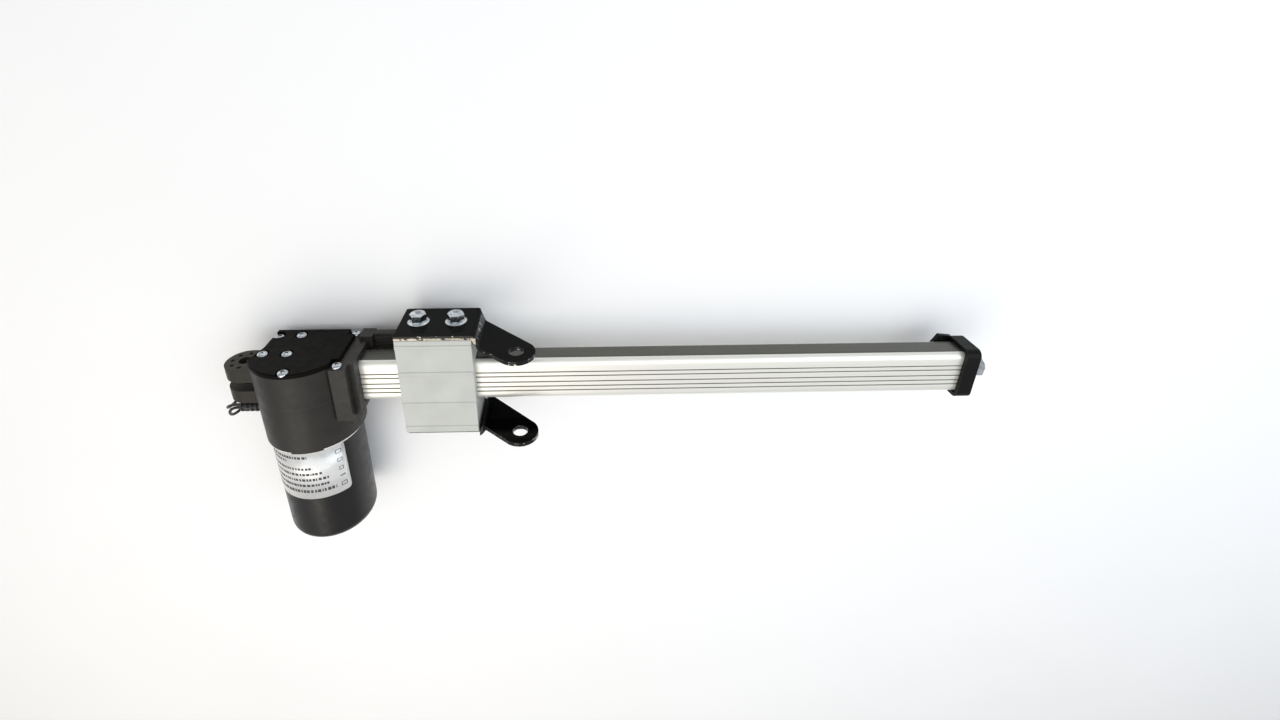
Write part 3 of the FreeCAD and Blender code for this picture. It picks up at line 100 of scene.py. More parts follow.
def surface(name, colour, rough, metal=0.0, patch=0.15, patch_size=45.0, grain=1800.0, bump=0.1,
            bump_high=0.05, stretch=(1, 1, 1), rough_span=0.08, shine=0.5, worn=None, worn_from=0.62):
    """A finish made of nodes: soft patches of colour, uneven gloss, a fine grain and, if worn, bare spots."""
    made = bpy.data.materials.new(name)
    made.use_nodes = True
    tree = made.node_tree
    shader = tree.nodes["Principled BSDF"]
    shader.inputs["Metallic"].default_value = metal
    shader.inputs["Specular IOR Level"].default_value = shine
    place = tree.nodes.new("ShaderNodeTexCoord")
    scale = tree.nodes.new("ShaderNodeMapping")
    scale.inputs["Scale"].default_value = stretch
    tree.links.new(place.outputs["Object"], scale.inputs["Vector"])

    def noise(size, detail):
        node = tree.nodes.new("ShaderNodeTexNoise")
        node.inputs["Scale"].default_value = size
        node.inputs["Detail"].default_value = detail
        tree.links.new(scale.outputs["Vector"], node.inputs["Vector"])
        return node.outputs["Fac"]

    def spread(source, low, high, start=0.3, end=0.7):
        node = tree.nodes.new("ShaderNodeMapRange")
        for label, value in (("From Min", start), ("From Max", end), ("To Min", low), ("To Max", high)):
            node.inputs[label].default_value = value
        tree.links.new(source, node.inputs["Value"])
        return node.outputs["Result"]

    def mix(factor, first, second):
        node = tree.nodes.new("ShaderNodeMix")
        node.data_type = "RGBA"
        tree.links.new(factor, node.inputs["Factor"])
        for socket, value in ((node.inputs[6], first), (node.inputs[7], second)):
            if isinstance(value, bpy.types.NodeSocket):
                tree.links.new(value, socket)
            else:
                socket.default_value = (*value, 1.0)
        return node.outputs[2]

    patches = noise(patch_size, 4.0)
    fine = noise(grain, 2.0)
    dark = [channel * (1 - patch) for channel in colour]
    light = [min(1.0, channel * (1 + patch)) for channel in colour]
    tone = mix(spread(patches, 0.0, 1.0), dark, light)
    gloss = spread(noise(patch_size * 4, 3.0), rough - rough_span, rough + rough_span)
    if worn:
        spots = spread(noise(420.0, 5.0), 0.0, 1.0, worn_from, worn_from + 0.05)
        tone = mix(spots, tone, worn)
        tree.links.new(spots, shader.inputs["Metallic"])
    tree.links.new(tone, shader.inputs["Base Color"])
    tree.links.new(gloss, shader.inputs["Roughness"])
    relief = tree.nodes.new("ShaderNodeBump")
    relief.inputs["Strength"].default_value = bump
    relief.inputs["Distance"].default_value = bump_high * MM
    tree.links.new(fine, relief.inputs["Height"])
    tree.links.new(relief.outputs["Normal"], shader.inputs["Normal"])
    return made


ALONG_X = (0.02, 1, 1)
FINISHES = {
    "housing_black": surface("housing_black", (0.022, 0.020, 0.017), 0.46, bump=0.35, bump_high=0.12,
                             grain=2600.0, patch=0.25, shine=0.32),
    "cover_black": surface("cover_black", (0.0045, 0.0038, 0.003), 0.5, bump=0.35, bump_high=0.12,
                           grain=2600.0, shine=0.05),
    "clevis_black": surface("clevis_black", (0.034, 0.031, 0.024), 0.5, bump=0.3, bump_high=0.12,
                            grain=2200.0, shine=0.2),
    "cap_black": surface("cap_black", (0.005, 0.005, 0.005), 0.42, bump=0.3, bump_high=0.1, grain=2400.0,
                         shine=0.12),
    "slider_grey": surface("slider_grey", (0.53, 0.54, 0.51), 0.42, patch=0.06, patch_size=60.0, bump=0.2,
                           bump_high=0.15, grain=700.0),
    "nut_white": surface("nut_white", (0.78, 0.76, 0.70), 0.45, patch=0.05),
    "bracket_black": surface("bracket_black", (0.001, 0.001, 0.001), 0.12, rough_span=0.03, shine=0.04,
                             bump=0.15, bump_high=0.05, grain=900.0),
    "can_black": surface("can_black", (0.006, 0.006, 0.006), 0.34, shine=0.35, bump=0.25, bump_high=0.08,
                         grain=1500.0),
    "track_aluminium": surface("track_aluminium", (0.90, 0.89, 0.83), 0.38, metal=0.6, patch=0.03,
                               patch_size=900.0, grain=5000.0, bump=0.12, bump_high=0.04, stretch=ALONG_X,
                               rough_span=0.03),
    "zinc": surface("zinc", (0.56, 0.60, 0.63), 0.16, metal=1.0, patch=0.3, patch_size=260.0, bump=0.12),
    "steel": surface("steel", (0.52, 0.52, 0.53), 0.25, metal=1.0, patch=0.12, grain=3000.0),
    "bronze": surface("bronze", (0.50, 0.33, 0.15), 0.4, metal=1.0, patch=0.2),
    "gear_nylon": surface("gear_nylon", (0.72, 0.68, 0.56), 0.45, patch=0.06),
    "magnet": surface("magnet", (0.06, 0.06, 0.065), 0.6, metal=0.3, bump=0.4, bump_high=0.2, grain=900.0),
    "lamination": surface("lamination", (0.25, 0.25, 0.27), 0.45, metal=0.8, stretch=(1, 60, 1), patch=0.3,
                          patch_size=120.0),
    "copper": surface("copper", (0.62, 0.25, 0.11), 0.3, metal=1.0, stretch=(1, 30, 1), patch=0.3,
                      patch_size=200.0, bump=0.5, bump_high=0.2, grain=500.0),
    "plug_zinc": surface("plug_zinc", (0.45, 0.46, 0.48), 0.5, metal=0.9, bump=0.4, bump_high=0.1),
    "label_silver": surface("label_silver", (0.80, 0.80, 0.79), 0.3, metal=0.35, patch=0.03, bump=0.1,
                            grain=500.0),
    "rubber_black": surface("rubber_black", (0.016, 0.016, 0.018), 0.38, bump=0.2),
    "wire_black": surface("wire_black", (0.012, 0.012, 0.014), 0.32, bump=0.15),
    "switch_black": surface("switch_black", (0.015, 0.015, 0.015), 0.3),
    "carbon": surface("carbon", (0.04, 0.04, 0.042), 0.5, bump=0.3),
}
BARE_EDGE = surface("bare_edge", (0.012, 0.012, 0.011), 0.3, worn=(0.42, 0.39, 0.33), worn_from=0.42,
                    bump=0.6, bump_high=0.25, grain=900.0)
WORN_EDGE = surface("worn_edge", (0.004, 0.004, 0.004), 0.2, shine=0.3, worn=(0.5, 0.5, 0.48), worn_from=0.62,
                    bump=0.3, grain=900.0)
# a darker copy of the track's aluminium for its top and bottom faces: a painted dark reflection, the dark
# surroundings those faces mirror painted into their colour
TRACK_SIDE_PAINTED_REFLECTION = surface("track_side_painted_reflection", (0.105, 0.105, 0.092), 0.36, metal=0.8, patch=0.08, patch_size=900.0,
                     grain=5000.0, bump=0.12, bump_high=0.04, stretch=ALONG_X)
GROOVE_SHADE = surface("groove_shade", (0.26, 0.24, 0.20), 0.5, metal=0.5, patch=0.1)
BRIGHT_ZINC = surface("bright_zinc", (0.86, 0.85, 0.80), 0.45, metal=0.4, patch=0.15, patch_size=260.0)
# a lighter brown-grey for the bevels along the seam of the gearbox halves: a painted highlight, the light
# those edges catch painted into their colour
SEAM_PAINTED_HIGHLIGHT = surface("seam_painted_highlight", (0.13, 0.12, 0.10), 0.5, patch=0.3, patch_size=300.0)
INK = surface("label_ink", (0.05, 0.05, 0.055), 0.5, patch=0.3, patch_size=900.0)


# ---- mesh tools --------------------------------------------------------------------------------------

PUT = {"x": lambda across, up, along: (along, across, up),
       "y": lambda across, up, along: (across, along, up),
       "z": lambda across, up, along: (across, up, along)}


def to_object(name, mesh):
    """Turns a bmesh into a smooth-shaded object with its faces turned outwards."""
    bmesh.ops.recalc_face_normals(mesh, faces=mesh.faces)
    for face in mesh.faces:
        face.smooth = True
    data = bpy.data.meshes.new(name)
    mesh.to_mesh(data)
    mesh.free()
    made = bpy.data.objects.new(name, data)
    bpy.context.scene.collection.objects.link(made)
    return made


def rounded(corners, steps=6):
    """An outline through (across, up, radius) corners, each turned into an arc."""
    outline = []
    for number, (across, up, radius) in enumerate(corners):
        corner = Vector((across, up))
        if radius == 0:
            outline.append(corner)
            continue
        before = (Vector(corners[number - 1][:2]) - corner).normalized()
        after = (Vector(corners[(number + 1) % len(corners)][:2]) - corner).normalized()
        half = before.angle(after) / 2
        centre = corner + (before + after).normalized() * (radius / math.sin(half))
        first = corner + before * (radius / math.tan(half)) - centre
        last = corner + after * (radius / math.tan(half)) - centre
        sweep = math.atan2(first.x * last.y - first.y * last.x, first.dot(last))
        for step in range(steps + 1):
            turn = sweep * step / steps
            outline.append(centre + Vector((first.x * math.cos(turn) - first.y * math.sin(turn),
                                            first.x * math.sin(turn) + first.y * math.cos(turn))))
    return outline


def rounded_box(low, high, radius):
    """A box's outline seen along X, with rounded corners."""
    return rounded([(low.y, low.z, radius), (high.y, low.z, radius), (high.y, high.z, radius),
                    (low.y, high.z, radius)])


def prism(name, axis, outline, low, high):
    """A closed outline pushed along an axis."""
    put = PUT[axis]
    mesh = bmesh.new()
    bottom = [mesh.verts.new(Vector(put(across, up, low)) * MM) for across, up in outline]
    top = [mesh.verts.new(Vector(put(across, up, high)) * MM) for across, up in outline]
    mesh.faces.new(bottom)
    mesh.faces.new(top)
    for number in range(len(outline)):
        after = (number + 1) % len(outline)
        mesh.faces.new([bottom[number], bottom[after], top[after], top[number]])
    return to_object(name, mesh)


def slab(name, low, high):
    """A box between two corners, as a tool for cutting."""
    outline = [(low[0], low[1]), (high[0], low[1]), (high[0], high[1]), (low[0], high[1])]
    return prism(name, "z", outline, low[2], high[2])


def lathe(name, axis, profile, centre=(0, 0), steps=64):
    """A closed outline of (radius, along) corners turned about a line along an axis."""
    put = PUT[axis]
    mesh = bmesh.new()
    rings = []
    for step in range(steps):
        turn = 2 * math.pi * step / steps
        rings.append([mesh.verts.new(Vector(put(centre[0] + radius * math.cos(turn),
                                                centre[1] + radius * math.sin(turn), along)) * MM)
                      for radius, along in profile])
    for step, ring in enumerate(rings):
        after = rings[(step + 1) % steps]
        for number in range(len(profile)):
            following = (number + 1) % len(profile)
            mesh.faces.new([ring[number], ring[following], after[following], after[number]])
    bmesh.ops.remove_doubles(mesh, verts=mesh.verts, dist=1e-7)
    return to_object(name, mesh)


def round_rod(name, axis, radius, low, high, centre=(0, 0), steps=32):
    return lathe(name, axis, [(0, low), (radius, low), (radius, high), (0, high)], centre, steps)


def settle(piece):
    """Applies a piece's modifiers to its mesh."""
    graph = bpy.context.evaluated_depsgraph_get()
    mesh = bpy.data.meshes.new_from_object(piece.evaluated_get(graph))
    piece.modifiers.clear()
    piece.data = mesh
    return piece


def combine(piece, tools, how="DIFFERENCE"):
    """Cuts tools from a piece, or joins or intersects them, and removes the tools."""
    for tool in tools:
        step = piece.modifiers.new("Combine", "BOOLEAN")
        step.operation = how
        step.solver = "EXACT"
        step.object = tool
    settle(piece)
    for tool in tools:
        bpy.data.objects.remove(tool)
    return piece


def soften(piece, width, segments=2, angle=32):
    """Rounds a piece's hard edges a little, and shades its flat faces flat."""
    bevel = piece.modifiers.new("Bevel", "BEVEL")
    bevel.width = width * MM
    bevel.segments = segments
    bevel.limit_method = "ANGLE"
    bevel.angle_limit = math.radians(angle)
    normals = piece.modifiers.new("Normals", "WEIGHTED_NORMAL")
    normals.keep_sharp = True
    for face in piece.data.polygons:
        face.use_smooth = True
    return settle(piece)


def show(piece, nodes, finish=None, body=None):
    """Gives a piece its finish and body, and lets it stand for frame nodes."""
    nodes = [nodes] if isinstance(nodes, str) else list(nodes)
    piece.data.materials.clear()
    piece.data.materials.append(finish or FINISHES[SLOTS[nodes[0]]])
    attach(piece, body or BODIES[nodes[0]])
    if body is None:
        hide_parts(*nodes)
    return piece


def merge(name, pieces):
    """Joins several objects' meshes into one object, each mesh left whole."""
    mesh = bmesh.new()
    for piece in pieces:
        mesh.from_mesh(piece.data)
        bpy.data.objects.remove(piece)
    data = bpy.data.meshes.new(name)
    mesh.to_mesh(data)
    mesh.free()
    made = bpy.data.objects.new(name, data)
    bpy.context.scene.collection.objects.link(made)
    return made


def moulded(node, width, segments=3):
    """A frame node's own form with its flat faces cleaned up and its sharp edges rounded."""
    mesh = bmesh.new()
    mesh.from_mesh(frame["nodes"][node].data)
    bmesh.ops.remove_doubles(mesh, verts=mesh.verts, dist=2e-6)
    bmesh.ops.dissolve_limit(mesh, angle_limit=math.radians(0.6), verts=mesh.verts, edges=mesh.edges)
    return soften(to_object(node + "_moulded", mesh), width, segments)


def threaded(name, radius, core, pitch, low, high, steps=28, rings=8):
    """A threaded rod along X, its surface rising and falling once in each pitch."""
    mesh = bmesh.new()
    count = max(2, round((high - low) / pitch * rings))
    rows = []
    for row in range(count + 1):
        along = low + (high - low) * row / count
        ring = []
        for step in range(steps):
            turn = 2 * math.pi * step / steps
            phase = (along / pitch - step / steps) % 1.0
            height = min(1.0, max(0.0, 2.4 - abs(phase - 0.5) * 8))
            reach = core + (radius - core) * height
            ring.append(mesh.verts.new(Vector((along, reach * math.cos(turn), reach * math.sin(turn))) * MM))
        rows.append(ring)
    for first, second in zip(rows, rows[1:]):
        for step in range(steps):
            after = (step + 1) % steps
            mesh.faces.new([first[step], first[after], second[after], second[step]])
    mesh.faces.new(rows[0])
    mesh.faces.new(rows[-1])
    return to_object(name, mesh)


# ---- leads -------------------------------------------------------------------------------------------

WIRE = 2.0
LEAD_ROUTES = {
    "lead_1": [(-7.5, -19.4, 5.0), (-13.0, -19.4, 5.0), (-18.4, -22.4, 3.6), (-21.4, -27.2, -1.5),
               (-21.0, -28.5, -10.0), (-18.0, -24.5, -19.0), (-13.0, -17.5, -26.5), (-5.0, -9.5, -30.8),
               (8.0, -2.0, -30.8), (22.0, 3.6, -30.8), (40.0, 5.2, -30.8), (58.0, 4.0, -30.8),
               (73.0, -0.6, -30.8), (83.0, -2.6, -30.0), (92.0, -2.6, -30.0)],
    "lead_2": [(-7.5, -21.8, 5.0), (-13.5, -21.8, 5.0), (-17.8, -26.2, 4.2), (-19.0, -32.0, 0.5),
               (-18.0, -34.0, -7.5), (-15.0, -30.5, -16.5), (-9.5, -22.5, -25.0), (-1.0, -13.5, -30.8),
               (10.0, -5.5, -30.8), (23.0, 0.4, -30.8), (40.0, 1.8, -30.8), (57.0, 0.8, -30.8),
               (72.0, -4.6, -30.8), (82.5, -9.4, -30.0), (92.0, -9.4, -30.0)],
}
LAYER = 2.05
LAYERS = 4


def hank_turns(side, reach):
    """A lead's turns in the hank: side is the first run's side of the middle, reach its distance from it."""
    low, high = span("lead_hank")
    middle = (low.y + high.y) / 2
    left = low.x + WIRE / 2 + reach
    right = high.x - WIRE / 2 - reach
    first_layer = LEAD_ROUTES["lead_1"][-1][2]
    points = []

    def run(layer, along, which):
        for place in along:
            points.append((place, middle + which * reach, first_layer + LAYER * layer))

    def fold(layer, centre, outward, which, rise):
        for step in range(1, 6):
            turn = math.pi * step / 6
            points.append((centre + outward * reach * math.sin(turn), middle + which * reach * math.cos(turn),
                           first_layer + LAYER * (layer + rise * step / 6)))

    third = (right - left) / 3
    for layer in range(LAYERS):
        start = left + third / 2 if layer == 0 else left
        run(layer, (start, left + third, right - third), side)
        if layer == LAYERS - 1:
            break
        run(layer, (right,), side)
        fold(layer, right, 1, side, 0)
        run(layer, (right, right - third, left + third, left), -side)
        fold(layer, left, -1, -side, 1)
    last = first_layer + LAYER * (LAYERS - 1)
    points += [(right - 2, middle + side * reach, last), (high.x - 5, middle + side * (reach - 2.0), last),
               (high.x, middle + side * 2.9, last)]
    return points


def make_lead(node, side, reach):
    """One lead from the strain relief, round under the gearbox, through the hank to the connector."""
    curve = bpy.data.curves.new(node + "_wire", "CURVE")
    curve.dimensions = "3D"
    curve.bevel_depth = WIRE / 2 * MM
    curve.bevel_resolution = 4
    curve.resolution_u = 6
    curve.use_fill_caps = True
    route = LEAD_ROUTES[node] + hank_turns(side, reach)
    spline = curve.splines.new("NURBS")
    spline.points.add(len(route) - 1)
    for point, place in zip(spline.points, route):
        point.co = (*(Vector(place) * MM), 1.0)
    spline.order_u = 3
    spline.use_endpoint_u = True
    lead = bpy.data.objects.new(node + "_wire", curve)
    bpy.context.scene.collection.objects.link(lead)
    return lead


def make_tie():
    """A nylon tie round the middle of the hank."""
    low, high = span("hank_tie")
    outside = rounded_box(low, high, 1.6)
    band = prism("hank_tie_band", "x", outside, low.x, high.x)
    inner_low, inner_high = span("lead_hank")
    inside = rounded_box(inner_low, inner_high, 1)
    combine(band, [prism("hank_tie_inside", "x", inside, low.x - 1, high.x + 1)])
    return show(soften(band, 0.2), "hank_tie")


def make_connector():
    """A two-way plug housing with a waist, a grip groove each side and two sockets in its far end."""
    low, high = span("lead_connector")
    outside = rounded_box(low, high, 1)
    shell = prism("connector_shell", "x", outside, low.x, high.x)
    middle = (low + high) / 2
    tools = [slab("connector_waist", (low.x + 6, low.y - 1, high.z - 1.0),
                  (low.x + 10, high.y + 1, high.z + 1))]
    for side in (1, -1):
        tools.append(round_rod("connector_socket", "x", 1.6, high.x - 6, high.x + 1,
                               (middle.y + side * 2.4, middle.z - 0.5)))
        tools.append(slab("connector_grip", (low.x + 2, middle.y + side * 5 - 0.5, low.z + 2),
                          (low.x + 14, middle.y + side * 5 + 0.5, high.z - 3)))
    combine(shell, tools)
    return show(soften(shell, 0.35), "lead_connector")


def make_leads():
    tie = make_tie()
    connector = make_connector()
    low, high = span("lead_hank")
    outer = (high.y - low.y - WIRE) / 2
    for node, side, reach, length, more in (("lead_1", 1, outer, 0.50, [tie]),
                                            ("lead_2", -1, outer - WIRE, 0.49, [connector])):
        lead = make_lead(node, side, reach)
        nodes = [node] + (["lead_hank"] if tie in more else [])
        show(lead, nodes)


make_leads()


# ---- track and slider --------------------------------------------------------------------------------

GROOVES = (6.1, 2.9, -1.5, -5.1, -8.4)
GROOVE_WIDE = 0.8
GROOVE_DEEP = 0.6
GROOVE_REACH = 9.0
TRACK_CORNER = 5.0
TRACK_WALL = 2.0
SLOT_HALF = 4.5


def make_track():
    """The extruded channel, with radiused grooves in front and its open slot at the back."""
    low, high = span("track")
    half, front = high.y, high.z
    corners = [(SLOT_HALF, -front, 0.3), (half, -front, TRACK_CORNER), (half, front, TRACK_CORNER)]
    for groove in GROOVES:
        near, far = groove + GROOVE_WIDE / 2, groove - GROOVE_WIDE / 2
        corners += [(near, front, 0.18), (near, front - GROOVE_DEEP, 0.15), (far, front - GROOVE_DEEP, 0.15),
                    (far, front, 0.18)]
    inner, deep = half - TRACK_WALL, front - TRACK_WALL
    corners += [(-half, front, TRACK_CORNER), (-half, -front, TRACK_CORNER), (-SLOT_HALF, -front, 0.3),
                (-SLOT_HALF, -deep, 0.3), (-inner, -deep, 1), (-inner, deep, 1), (inner, deep, 1),
                (inner, -deep, 1), (SLOT_HALF, -deep, 0.3)]
    track = prism("track_extrusion", "x", rounded(corners, 8), low.x, high.x)
    show(soften(track, 0.12, 2, 50), "track")
    for shade in (TRACK_SIDE_PAINTED_REFLECTION, GROOVE_SHADE):
        track.data.materials.append(shade)
    low_groove, high_groove = (front - GROOVE_DEEP - 0.1) * MM, (front - 0.15) * MM
    # faces across the top and bottom take the painted dark reflection, and the groove floors take the painted
    # groove shade
    for face in track.data.polygons:
        if abs(face.normal.y) > 0.7 and abs(face.center.y) > (half - 0.6) * MM:
            face.material_index = 1
        elif low_groove < face.center.z < high_groove and abs(face.center.y) < GROOVE_REACH * MM:
            face.material_index = 2


RIBS = (31.2, 11.3, -12.5, -31.6)
RIB_HALF = 1.1
RIB_PROUD = 0.6
SLIDE_GAP = 0.35


def make_slider():
    """The moulded block: rolled edges, four low ribs across its front, and the way for the track."""
    low, high = span("slider_block")
    front = high.z - RIB_PROUD
    corners = [(low.y, low.z, 1.4), (high.y, low.z, 1.4), (high.y, front, 1.4)]
    for rib in RIBS:
        corners += [(rib + RIB_HALF + 0.5, front, 0.3), (rib + RIB_HALF, high.z, 0.3),
                    (rib - RIB_HALF, high.z, 0.3), (rib - RIB_HALF - 0.5, front, 0.3)]
    corners.append((low.y, front, 1.4))
    block = prism("slider_moulding", "x", rounded(corners, 5), low.x, high.x)
    _, track_high = span("track")
    wide, deep = track_high.y + SLIDE_GAP, track_high.z + SLIDE_GAP
    way = rounded([(-wide, -deep, TRACK_CORNER), (wide, -deep, TRACK_CORNER), (wide, deep, TRACK_CORNER),
                   (-wide, deep, TRACK_CORNER)], 8)
    nut_low, _ = span("drive_nut")
    arm_x, arm_half = (nut_low.x + 4, nut_low.x + 21), 4.2
    tools = [prism("slider_way", "x", way, low.x - 1, high.x + 1),
             slab("slider_arm_way", (arm_x[0] - 0.1, -arm_half - 0.1, low.z - 1),
                  (arm_x[1] + 0.1, arm_half + 0.1, -track_high.z + 0.5))]
    for x in BOLT_PLACES:
        tools.append(round_rod("slider_hole", "y", 3.05, high.y - 14, high.y + 1, (x, BOLT_Z)))
        tools.append(round_rod("slider_hole", "y", 3.05, low.y - 1, low.y + 14, (x, BOLT_Z)))
    combine(block, tools)
    show(soften(block, 0.45, 3, 40), "slider_block")


BOLT_PLACES = (118.1, 142.7)
BOLT_Z = -1.5
BEND = 155.2
PLATE_THICK = 3.0
PLATE_FRONT = 17.0
LOWER_PLATE_FRONT = 13.2
EAR_DROP = 6.95
EAR_TIP = Vector((183.6, 24.3))
EAR_ROUND = 12.0
EAR_STEPS = 28
FAR = 60.0


def ear_outline(low):
    """A bracket seen along Y: the plate, and the ear that narrows towards its rounded tip."""
    root_low, root_high = Vector((BEND + 1.4, low.z + 2)), Vector((BEND + 2.4, PLATE_FRONT + 0.6))

    def touch(root, side):
        away = root - EAR_TIP
        return math.atan2(away.y, away.x) + side * math.acos(EAR_ROUND / away.length)

    first, last = touch(root_low, 1), touch(root_high, -1)
    if last < first:
        last += 2 * math.pi
    outline = rounded([(low.x, low.z, 1.8), (root_low.x, low.z, 1.2), (*root_low, 0), (*root_high, 0),
                       (root_high.x, PLATE_FRONT, 0), (low.x, PLATE_FRONT, 0)])
    place = outline.index(root_high)
    turns = [first + (last - first) * step / EAR_STEPS for step in range(EAR_STEPS + 1)]
    arc = [EAR_TIP + EAR_ROUND * Vector((math.cos(turn), math.sin(turn))) for turn in turns]
    return outline[:place] + arc + outline[place:]


def make_bracket(node, side):
    """A pressed steel bracket: plate, joggle and ear, sheared edges bare where the finish has chipped."""
    low, high = span(node)
    outer = max(abs(low.y), abs(high.y))
    ear = outer - EAR_DROP
    corners = [(low.x, outer - PLATE_THICK, 0), (BEND, outer - PLATE_THICK, 1.6),
               (BEND + 2.6, ear - PLATE_THICK, 3.5), (high.x + 1, ear - PLATE_THICK, 0), (high.x + 1, ear, 0),
               (BEND + 4.8, ear, 1.6), (BEND + 1.3, outer, 3.5), (low.x, outer, 0)]
    strip = prism(node + "_pressing", "z", rounded([(x, side * y, r) for x, y, r in corners]),
                  low.z - 1, high.z + 1)
    plan = prism(node + "_plan", "y", ear_outline(low), -FAR, FAR)
    combine(strip, [plan], "INTERSECT")
    holes = [round_rod("bracket_hole", "y", 3.3, -FAR, FAR, (x, BOLT_Z)) for x in BOLT_PLACES]
    holes.append(round_rod("bracket_ear_hole", "y", 5.0, -FAR, FAR, EAR_TIP, 48))
    if side < 0:
        holes.append(slab("bracket_set_back", (low.x - 1, -FAR, LOWER_PLATE_FRONT), (BEND, -30, high.z)))
    combine(strip, holes)
    show(soften(strip, 0.25, 2, 40), node)
    half_way = (outer - PLATE_THICK / 2) * MM
    halves = bmesh.new()
    halves.from_mesh(strip.data)
    bmesh.ops.bisect_plane(halves, geom=halves.verts[:] + halves.edges[:] + halves.faces[:],
                           plane_co=(0, half_way, 0), plane_no=(0, 1, 0))
    halves.to_mesh(strip.data)
    halves.free()
    strip.data.materials.append(BARE_EDGE)
    strip.data.materials.append(WORN_EDGE)
    for face in strip.data.polygons:
        if abs(face.normal.y) > 0.5:
            continue
        bare = (side > 0 and face.center.x < (BEND + 4) * MM and face.normal.z > 0.7
                and (face.center.y < half_way or face.center.x > BEND * MM))
        face.material_index = 1 if bare else 2


def hexagon(radius):
    turns = [math.pi / 3 * side for side in range(6)]
    return [Vector((radius * math.cos(turn), radius * math.sin(turn))) for turn in turns]


def hex_bolt(name, centre, seat, side):
    """A flange bolt with a dished hexagon head, chamfered at its corners."""
    flange, head = 1.5, 4.8

    def level(height):
        return seat + side * height

    skirt = lathe(name, "y", [(0, level(0)), (7.1, level(0)), (7.1, level(0.7)), (5.9, level(flange)),
                              (0, level(flange))], centre)
    top = flange + head
    body = prism(name + "_hex", "y", [centre + corner for corner in hexagon(5.6)],
                 *sorted((level(0.2), level(top))))
    turned = lathe(name + "_turned", "y", [(0, level(0)), (5.75, level(0)), (5.75, level(top - 0.8)),
                                           (4.9, level(top)), (0, level(top))], centre)
    combine(body, [turned], "INTERSECT")
    dish = lathe(name + "_dish", "y", [(0, level(top - 1.3)), (2.2, level(top - 1.2)),
                                       (3.7, level(top + 0.1)), (0, level(top + 0.1))], centre)
    combine(body, [dish])
    shank = round_rod(name + "_shank", "y", 3.0, *sorted((level(-16.5), level(0.1))), centre)
    combine(skirt, [body, shank], "UNION")
    return soften(skirt, 0.18, 2, 28)


def make_bolts():
    for node, side in (("upper_bracket_bolts", 1), ("lower_bracket_bolts", -1)):
        plate_low, plate_high = span("upper_bracket" if side > 0 else "lower_bracket")
        seat = plate_high.y if side > 0 else plate_low.y
        pair = [hex_bolt(f"{node}_{number}", Vector((x, BOLT_Z)), seat, side)
                for number, x in enumerate(BOLT_PLACES)]
        show(merge(node + "_pair", pair), node)


# ---- gearbox -----------------------------------------------------------------------------------------

HOUSING_SCREWS = ((17.6, -16.4), (68.9, 19.3), (68.4, -20.2))
COVER_SCREWS = ((32.9, -15.6), (16.9, 7.5), (32.8, 7.7), (39.6, 29.0))


def pan_screw(name, centre, seat, length, turn):
    """A pan-head screw along Y with a cross recess turned to its own angle."""
    profile = [(0, seat - length), (1.6, seat - length), (1.6, seat), (3.5, seat), (3.5, seat + 0.6),
               (3.35, seat + 1.1), (2.9, seat + 1.65), (2.1, seat + 2.1), (1.1, seat + 2.35), (0, seat + 2.4)]
    screw = lathe(name, "y", profile, centre, 40)
    tools = []
    for quarter in (0, math.pi / 2):
        along = Vector((math.cos(turn + quarter), math.sin(turn + quarter)))
        aside = Vector((-along.y, along.x))
        cross = [centre + along * 1.9 + aside * 0.3, centre + aside * 0.5, centre - along * 1.9 + aside * 0.3,
                 centre - along * 1.9 - aside * 0.3, centre - aside * 0.5, centre + along * 1.9 - aside * 0.3]
        tools.append(prism(name + "_cross", "y", cross, seat + 1.0, seat + 3))
    combine(screw, tools)
    return soften(screw, 0.1, 2, 35)


def make_screws():
    _, cover_high = span("gearbox_cover")
    chance = random.Random(7)
    for node, places, seat, length in (("housing_screws", HOUSING_SCREWS, cover_high.y - 3.0, 34.0),
                                       ("cover_screws", COVER_SCREWS, cover_high.y - 1.4, 6.0)):
        group = [pan_screw(f"{node}_{number}", Vector(place), seat, length, chance.uniform(0, 1.5))
                 for number, place in enumerate(places)]
        show(merge(node + "_set", group), node)


def make_gearbox():
    """The two halves, the lid, the fork and the switch housing, each with its moulded edges."""
    seam = span("gearbox_upper_housing")[0].y
    for node in ("gearbox_upper_housing", "gearbox_lower_housing"):
        half = show(moulded(node, 0.5), node)
        half.data.materials.append(SEAM_PAINTED_HIGHLIGHT)
        for face in half.data.polygons:
            # the slanted bevel faces at the seam take the painted highlight
            if abs(face.center.y - seam * MM) < 0.55 * MM and 0.1 < abs(face.normal.y) < 0.95:
                face.material_index = 1
    show(moulded("gearbox_cover", 0.25), "gearbox_cover")
    show(moulded("rear_clevis", 0.4), "rear_clevis")
    show(moulded("switch_housing", 0.3), "switch_housing")


# ---- motor -------------------------------------------------------------------------------------------

def motor_axis():
    low, high = span("motor_can")
    return Vector(((low.x + high.x) / 2, (low.z + high.z) / 2)), (high.z - low.z) / 2, low.y, high.y


CAN_WALL = 1.8


